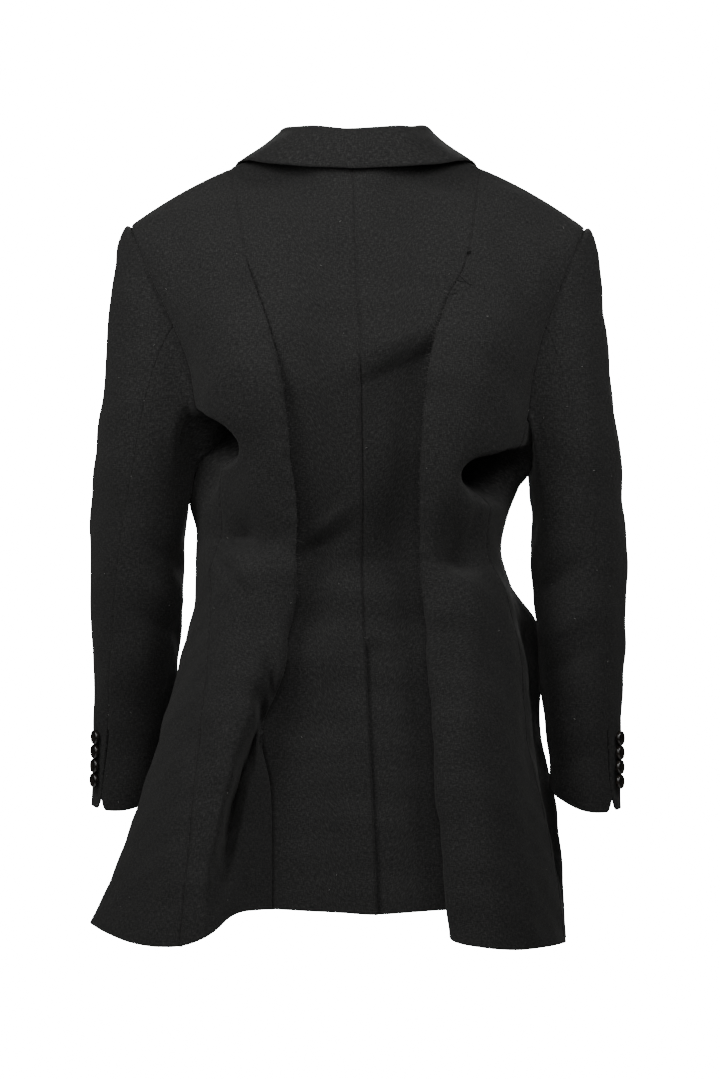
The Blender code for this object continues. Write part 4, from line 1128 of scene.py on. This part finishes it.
def sleeve(side, node, first, last, seams, columns):
    """One piece of a two-piece sleeve, between two seams, from the armhole to the cuff."""
    ring = armhole(side, np.arange(ARM_LOOP))
    steps = np.linalg.norm(np.roll(ring, -1, axis=0) - ring, axis=1)
    turns = np.concatenate(([0.0], np.cumsum(steps))) / steps.sum()
    share = shares(columns)
    index = first + (last - first) * share
    loop = armhole(side, index)
    start_turns = np.interp(index % ARM_LOOP, np.arange(ARM_LOOP + 1), turns) + index // ARM_LOOP
    along = np.linspace(0.0, 1.0, SLEEVE_ROWS)[:, None] ** SLEEVE_CROWD
    settled = ramp(along, 0.0, SLEEVE_SETTLE)
    level = loop[:, 2] + (CUFF_HEIGHT - loop[:, 2]) * along
    near_end, far_end = (sleeve_seam(name, level) + shift for name, shift in seams)
    turn = start_turns * (1 - settled) + (near_end + (far_end - near_end) * share) * settled
    bottom = smooth_curve(CUFF["turn"], CUFF["z"], turn % 1.0)
    near = np.clip(1 - np.abs(turn - sleeve_seam("hind", CUFF_HEIGHT)) / CUFF_CORNER_TURN, 0, 1)
    bottom = bottom + CUFF_CORNER * near ** 2
    z = loop[:, 2] + (bottom - loop[:, 2]) * along
    offset = loop - tube(side, start_turns, loop[:, 2])
    top = ramp(loop[:, 2], *HEAD_TOP_Z)
    travel = along * (loop[:, 2] - bottom)
    decay = np.exp(-travel / (HEAD_DECAY + (HEAD_TOP_DECAY - HEAD_DECAY) * top))
    z = z + HEAD_ROPE * top * np.exp(-((travel - HEAD_ROPE_AT) / HEAD_ROPE_AT) ** 2) * (along > 0)
    points = tube(side, turn, z) + offset * decay[..., None]
    x, y = side * points[..., 0], points[..., 1] - sleeve_column(side, "y", z)
    depth = ramp(y, *SLEEVE_BACK_Y) * crease_depth(SLEEVE_FOLDS[side], x, points[..., 2])
    depth = depth + ramp(y, *SLEEVE_FRONT_Y) * crease_depth(CROOK_FOLDS, x, points[..., 2])
    points -= directions(points, side) * (depth * ramp(travel, 0.0, FOLD_CLEAR))[..., None]
    body_outward = side_outward(side, *armhole_places(index))[:, 0]
    points -= body_outward * (ARMHOLE_DEEPER * groove(running_length(points, 0), ARMHOLE_WIDTH))[..., None]
    name = SIDE_NAMES[side]
    slit = SLEEVE_SEAM_SHARE + CUFF_SLIT_SHARE * ramp(z, *CUFF_SLIT_TOP)
    fore_seam, hind_seam = (
        ("first_column", "last_column") if node == "sleeve_top_" else ("last_column", "first_column")
    )
    side_seams = {fore_seam: SLEEVE_SEAM_SHARE, hind_seam: slit}
    turnings = ("first_row", "first_column", "last_column") if node == "sleeve_under_" else ("first_row",)
    lay = partial(sleeve_grain, side=side)
    panel(node + name, points, side, seams=side_seams, turnings=turnings, lay=lay)


def neck_front(side, levels):
    """Points just off the front's neck edge."""
    places = front_places(side, levels, roll_x(levels)[:, None])
    points = front_surface(side, places, levels)
    aside = front_surface(side, places + PLACE_STEP, levels) - points
    upward = np.gradient(points[:, 0], axis=0)
    outward = -side * unit(np.cross(aside[:, 0], upward))
    return points[:, 0] + outward * NECK_LIFT


def collar_line(kind, parts):
    """The collar's neck seam, fold or outer edge, either side of the middle."""
    away = np.abs(parts)
    x, y, z = (smooth_curve(COLLAR["part"], COLLAR[kind + axis], away) for axis in ("_x", "_y", "_z"))
    return np.stack((np.sign(parts) * x, y, z), axis=1)


def collar():
    """Stand and fall in one piece, folded over all round the neck."""
    parts = np.linspace(-COLLAR_END, COLLAR_END, COLLAR_ROWS)
    seam, fold, edge = (collar_line(kind, parts) for kind in ("seam", "fold", "edge"))
    for side in (LEFT, RIGHT):
        beyond = side * parts - COLLAR_SHOULDER
        seam[beyond > 0] = neck_front(side, TOP_LEVEL + beyond[beyond > 0] * COLLAR_FRONT_STEP)
    out = unit((edge - fold) * LEVEL_WAY) * COLLAR_ROLL
    down = np.array((0.0, 0.0, -COLLAR_ROLL))
    stations = np.stack((seam, fold - out + down, fold, fold + out + down, edge), axis=1)
    places = np.tile(np.linspace(0.0, stations.shape[1] - 1, COLLAR_COLUMNS), (COLLAR_ROWS, 1))
    panel("collar", station_line(stations, places), -1, lay=collar_grain)


def strands(name, lines, radius, material):
    """Fine threads, each a short bent line of points."""
    curve = bpy.data.curves.new(name, "CURVE")
    curve.dimensions = "3D"
    curve.bevel_depth = radius
    curve.bevel_resolution = STRAND_ROUND
    curve.use_fill_caps = True
    for line in lines:
        spline = curve.splines.new("POLY")
        spline.points.add(len(line) - 1)
        for point, place in zip(spline.points, line):
            point.co = (*place, 1.0)
    curve.materials.append(material)
    piece = placed(name, curve)
    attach(piece, "root")
    return piece


def bent_thread(start, way, length, chance, lift):
    """A thread that leaves start along way, wanders and is lifted off the cloth."""
    line = [start - way * FRAY_ROOT]
    heading = way
    for _ in range(FRAY_BENDS):
        heading = unit(heading + FRAY_WANDER * chance.normal(size=3) + lift)
        line.append(line[-1] + heading * (length / FRAY_BENDS))
    return line


def fray(side, points):
    """Ends of yarn along the raw edge of a side-back panel, with longer tufts in places."""
    chance = np.random.default_rng(SEED + FRAY_SEED + side)
    levels = np.linspace(TOP_LEVEL, HEM_LEVEL, BACK_ROWS)
    first, last = np.searchsorted(-levels, (FRAY_CLEAR - RELEASE_LEVEL, -FRAY_END))
    rows = [(row, FRAY_SHORT) for row in chance.integers(first, last, FRAY_COUNT[side])]
    for level, spread, count in TUFTS[side]:
        near = np.searchsorted(-levels, -chance.normal(level, spread, count))
        rows += [(row, FRAY_LONG) for row in np.clip(near, first, last)]
    off = unit(points[:, 0] - points[:, FRAY_INNER])
    outward = directions(points, -side)[:, 0]
    lines = []
    for row, lengths in rows:
        down = points[row + 1, 0] - points[row, 0]
        start = points[row, 0] + down * chance.uniform() - outward[row] * CLOTH_THICK / 2
        way = unit(off[row] + FRAY_SPREAD * chance.normal() * unit(down))
        length = chance.uniform(*lengths)
        lines.append(bent_thread(start, way, length, chance, outward[row] * FRAY_RISE))
    return strands("fray_" + SIDE_NAMES[side], lines, FRAY_RADIUS, yarn)


def resting(node, x, z):
    """The point of a panel seen from behind at a place, lifted just off the cloth, and its outward."""
    points, outward = surfaces[node]
    off = (points[..., 0] - x) ** 2 + (points[..., 2] - z) ** 2 + (outward[..., 1] > 0)
    spot = np.unravel_index(np.argmin(off), off.shape)
    return points[spot] + outward[spot] * THREAD_LIFT, outward[spot]


def knot_and_threads():
    """The knot at the top of the right loose edge and the dark threads below it."""
    chance = np.random.default_rng(SEED)
    lines = [[resting("back_side_right", x, z)[0] for x, z in path] for path in LOOSE_THREADS]
    middle, outward = resting("back_side_right", *KNOT_PLACE)
    size = np.array((KNOT_SIZE[0], 0.0, KNOT_SIZE[1]))
    for _ in range(KNOT_LOOPS):
        bends = chance.uniform(-1.0, 1.0, (KNOT_BENDS, 3)) * size
        bends -= (bends @ outward)[:, None] * outward
        lines.append(middle + bends + outward * chance.uniform(0.0, THREAD_LIFT, (KNOT_BENDS, 1)))
    strands("knot", lines, THREAD_RADIUS, knot_yarn)


def lint():
    """A few pale specks on the cloth."""
    chance = np.random.default_rng(SEED)
    spots = [resting(*place) for place in LINT_PLACES]
    for start in LINT_PANELS:
        for name in SIDE_NAMES.values():
            points, outward = surfaces[start + name]
            seen = np.argwhere(outward[..., 1] < LINT_FACING)
            for row, place in chance.choice(seen, LINT_COUNT):
                spots.append((points[row, place] + outward[row, place] * THREAD_LIFT, outward[row, place]))
    lines = []
    for spot, outward in spots:
        way = unit(np.cross(outward, chance.normal(size=3)))
        lines.append(bent_thread(spot, way, chance.uniform(*LINT_LENGTH), chance, np.zeros(3)))
    strands("lint", lines, LINT_RADIUS, lint_yarn)


def button(node):
    """A rimmed button with four holes and its thread, in the place of a plain disc."""
    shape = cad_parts[node]
    corners = np.array([shape.matrix_world @ corner.co for corner in shape.data.vertices])
    middle = (corners.max(axis=0) + corners.min(axis=0)) / 2
    spread = corners - middle
    axis = np.linalg.svd(spread, full_matrices=False)[2][2]
    inside = np.array((0.0, 0.0, middle[2]))
    if "cuff" in node:
        side = RIGHT if "right" in node else LEFT
        inside[:2] = side * sleeve_column(side, "x", middle[2]), sleeve_column(side, "y", middle[2])
    axis = axis * np.sign(axis @ (middle - inside))
    rise = spread @ axis
    half = np.abs(rise).max()
    radius = np.linalg.norm(spread - rise[:, None] * axis, axis=1).max()
    made = bmesh.new()
    ring = [made.verts.new((radius * out, 0.0, half * up)) for out, up in BUTTON_PROFILE]
    edges = [made.edges.new(pair) for pair in zip(ring[:-1], ring[1:])]
    bmesh.ops.spin(
        made, geom=ring + edges, cent=(0, 0, 0), axis=(0, 0, 1), angle=2 * math.pi, steps=BUTTON_SIDES,
    )
    bmesh.ops.remove_doubles(made, verts=made.verts[:], dist=BUTTON_MERGE)
    bmesh.ops.recalc_face_normals(made, faces=made.faces[:])
    for face in made.faces:
        face.smooth = True
    dish = half * BUTTON_PROFILE[-1][1]
    holes = [radius * HOLE_REACH * np.array((x, y)) for x in (-1, 1) for y in (-1, 1)]
    for hole in holes:
        size = radius * HOLE_SIZE
        disc = bmesh.ops.create_circle(made, cap_ends=True, segments=HOLE_SIDES, radius=size)["verts"]
        bmesh.ops.translate(made, vec=(*hole, dish + HOLE_LIFT), verts=disc)
        for face in disc[0].link_faces:
            face.material_index = 1
    turn = Vector((0, 0, 1)).rotation_difference(Vector(axis)).to_matrix().to_4x4()
    place = Matrix.Translation(Vector(middle)) @ turn
    bmesh.ops.transform(made, matrix=place, verts=made.verts[:])
    data = mesh_of("horn_" + node, made)
    data.materials.append(horn)
    data.materials.append(knot_yarn)
    piece = placed("horn_" + node, data)
    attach(piece, "root")
    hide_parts(node)
    bars = []
    for start, end in ((holes[0], holes[1]), (holes[2], holes[3])):
        low, high = dish + HOLE_LIFT, dish + HOLE_LIFT + BAR_RISE
        bar = ((*start, low), (*((start + end) / 2), high), (*end, low))
        bars.append([place @ Vector(point) for point in bar])
    strands("thread_" + node, bars, BAR_RADIUS, knot_yarn)


def set_inputs(node, values):
    """Set a shader node's inputs by name."""
    for name, value in values.items():
        node.inputs[name].default_value = value


def math_node(tree, operation, first, second):
    """A Math node fed by sockets or numbers."""
    node = tree.nodes.new("ShaderNodeMath")
    node.operation = operation
    for socket, value in zip(node.inputs, (first, second)):
        if isinstance(value, (int, float)):
            socket.default_value = value
        else:
            tree.links.new(value, socket)
    return node.outputs[0]


def noise(tree, place, scale, detail=NOISE_DETAIL, rough=NOISE_ROUGHNESS):
    """Soft noise with so many spots to the metre each way."""
    mapping = tree.nodes.new("ShaderNodeMapping")
    set_inputs(mapping, {"Scale": scale})
    tree.links.new(place, mapping.inputs["Vector"])
    node = tree.nodes.new("ShaderNodeTexNoise")
    set_inputs(node, {"Scale": 1.0, "Detail": detail, "Roughness": rough})
    tree.links.new(mapping.outputs[0], node.inputs["Vector"])
    return node.outputs["Fac"]


def yarns(tree, place, direction):
    """Raised yarns that run one way."""
    node = tree.nodes.new("ShaderNodeTexWave")
    node.bands_direction = direction
    set_inputs(node, {"Scale": 2 * math.pi / WAVE_TURN / YARN_PITCH, "Distortion": YARN_WANDER})
    set_inputs(node, {"Detail": YARN_DETAIL, "Detail Scale": YARN_WANDER_SCALE})
    tree.links.new(place, node.inputs["Vector"])
    return node.outputs["Fac"]


def tint(tree, value, stops):
    """Colour a material along a value from 0 to 1."""
    node = tree.nodes.new("ShaderNodeValToRGB")
    ramp_stops = node.color_ramp.elements
    while len(ramp_stops) < len(stops):
        ramp_stops.new(0.5)
    for stop, (place, colour) in zip(ramp_stops, stops):
        stop.position = place
        stop.color = (*colour, 1.0)
    tree.links.new(value, node.inputs["Fac"])
    tree.links.new(node.outputs["Color"], tree.nodes["Principled BSDF"].inputs["Base Color"])


def bump(tree, height, strength, distance):
    """Raise a material's surface by a height."""
    node = tree.nodes.new("ShaderNodeBump")
    set_inputs(node, {"Strength": strength, "Distance": distance})
    tree.links.new(height, node.inputs["Height"])
    tree.links.new(node.outputs["Normal"], tree.nodes["Principled BSDF"].inputs["Normal"])


def blank_material(name, looks):
    """A material with the given looks; returns it with its node tree."""
    material = bpy.data.materials.new(name)
    material.use_nodes = True
    tree = material.node_tree
    set_inputs(tree.nodes["Principled BSDF"], looks)
    return material, tree


def wool_material():
    """Matt black wool suiting: a fine uneven weave with slubs, flecks and a slight nap."""
    material, tree = blank_material("black_wool_suiting", {**WOOL_LOOKS, **WOOL_NAP})
    where = tree.nodes.new("ShaderNodeUVMap")
    where.uv_map = "cloth"
    place = where.outputs["UV"]
    warp = noise(tree, place, (SLUB_ACROSS, SLUB_ALONG, 1.0))
    weft = noise(tree, place, (SLUB_ALONG, SLUB_ACROSS, 1.0))
    fleck = noise(tree, place, (FLECKS, FLECKS, 1.0), FLECK_DETAIL, FLECK_ROUGHNESS)
    cloud = noise(tree, place, (CLOUDS, CLOUDS, 1.0))
    slubs = math_node(tree, "ADD", warp, weft)
    nap = math_node(tree, "ADD", slubs, fleck)
    toned = math_node(tree, "ADD", nap, math_node(tree, "MULTIPLY", cloud, CLOUD_SHARE))
    tint(tree, math_node(tree, "DIVIDE", toned, GRAIN_PARTS + CLOUD_SHARE), WOOL_TONES)
    weave = math_node(tree, "MULTIPLY", yarns(tree, place, "X"), yarns(tree, place, "Y"))
    height = math_node(tree, "ADD", math_node(tree, "MULTIPLY", weave, WEAVE_SHARE), nap)
    bump(tree, height, WOOL_BUMP, WOOL_BUMP_DEPTH)
    return material


def spotted_material(name, looks, spots, tones, detail=NOISE_DETAIL, rough=NOISE_ROUGHNESS, scratches=None):
    """A material with soft spots in the given tones and, if a scale is given, fine scratches."""
    material, tree = blank_material(name, looks)
    place = tree.nodes.new("ShaderNodeTexCoord").outputs["Object"]
    tint(tree, noise(tree, place, (spots,) * 3, detail, rough), tones)
    if scratches:
        bump(tree, noise(tree, place, (scratches,) * 3), BUTTON_BUMP, BUTTON_BUMP_DEPTH)
    return material


def floor():
    """A round of pale floor below the hem."""
    disc = bmesh.new()
    bmesh.ops.create_circle(disc, cap_ends=True, segments=FLOOR_SIDES, radius=FLOOR_RADIUS)
    bmesh.ops.translate(disc, vec=(0.0, 0.0, FLOOR_LEVEL), verts=disc.verts[:])
    data = mesh_of("floor", disc)
    data.materials.append(spotted_material("white_paper", PAPER_LOOKS, PAPER_SPOTS, PAPER_TONES))
    made = placed("floor", data)


def studio():
    """White surroundings, soft lights and the camera straight behind the back."""
    world = bpy.data.worlds.new("studio")
    bpy.context.scene.world = world
    world.use_nodes = True
    tree = world.node_tree
    backdrop = tree.nodes["Background"]
    set_inputs(backdrop, {"Color": (1.0, 1.0, 1.0, 1.0)})
    seen = tree.nodes.new("ShaderNodeLightPath").outputs["Is Camera Ray"]
    strength = math_node(tree, "MULTIPLY", seen, BACKDROP_STRENGTH - AMBIENT_STRENGTH)
    tree.links.new(math_node(tree, "ADD", strength, AMBIENT_STRENGTH), backdrop.inputs["Strength"])
    for name, place, size, power in LIGHTS:
        lamp = bpy.data.lights.new(name, "AREA")
        lamp.shape = "DISK"
        lamp.size = size
        lamp.energy = power
        holder = placed(name, lamp)
        holder.location = place
        holder.rotation_euler = (Vector(LIGHT_AIM) - Vector(place)).to_track_quat("-Z", "Y").to_euler()
    camera = bpy.data.cameras.new("camera")
    camera.sensor_width = SENSOR
    camera.lens = SENSOR * CAMERA_DISTANCE / FRAME_HEIGHT
    camera.clip_end = CAMERA_CLIP
    holder = placed("camera", camera)
    holder.location = Vector(CAMERA_AIM) - Vector((0.0, CAMERA_DISTANCE, 0.0))
    holder.rotation_euler = (math.pi / 2, 0.0, 0.0)
    bpy.context.scene.camera = holder


wool = wool_material()
yarn = spotted_material("black_yarn", WOOL_LOOKS, YARN_SPOTS, YARN_TONES)
knot_yarn = spotted_material("knot_yarn", WOOL_LOOKS, YARN_SPOTS, KNOT_TONES)
lint_yarn = spotted_material("lint", WOOL_LOOKS, YARN_SPOTS, LINT_TONES)
horn = spotted_material(
    "black_horn", BUTTON_LOOKS, BUTTON_CLOUDS, BUTTON_TONES,
    BUTTON_CLOUD_DETAIL, BUTTON_CLOUD_ROUGHNESS, BUTTON_SCRATCHES,
)
surfaces = {}
for side in (LEFT, RIGHT):
    back_side(side)
    back_centre(side)
    side_body(side)
    front(side)
    lapel(side)
    sleeve(side, "sleeve_top_", FORE_INDEX - ARM_LOOP, HIND_INDEX, TOP_SEAMS, TOP_SLEEVE_COLUMNS)
    sleeve(side, "sleeve_under_", HIND_INDEX, FORE_INDEX, UNDER_SEAMS, UNDER_SLEEVE_COLUMNS)
collar()
knot_and_threads()
lint()
for node in [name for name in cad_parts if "button" in name]:
    button(node)
floor()
studio()
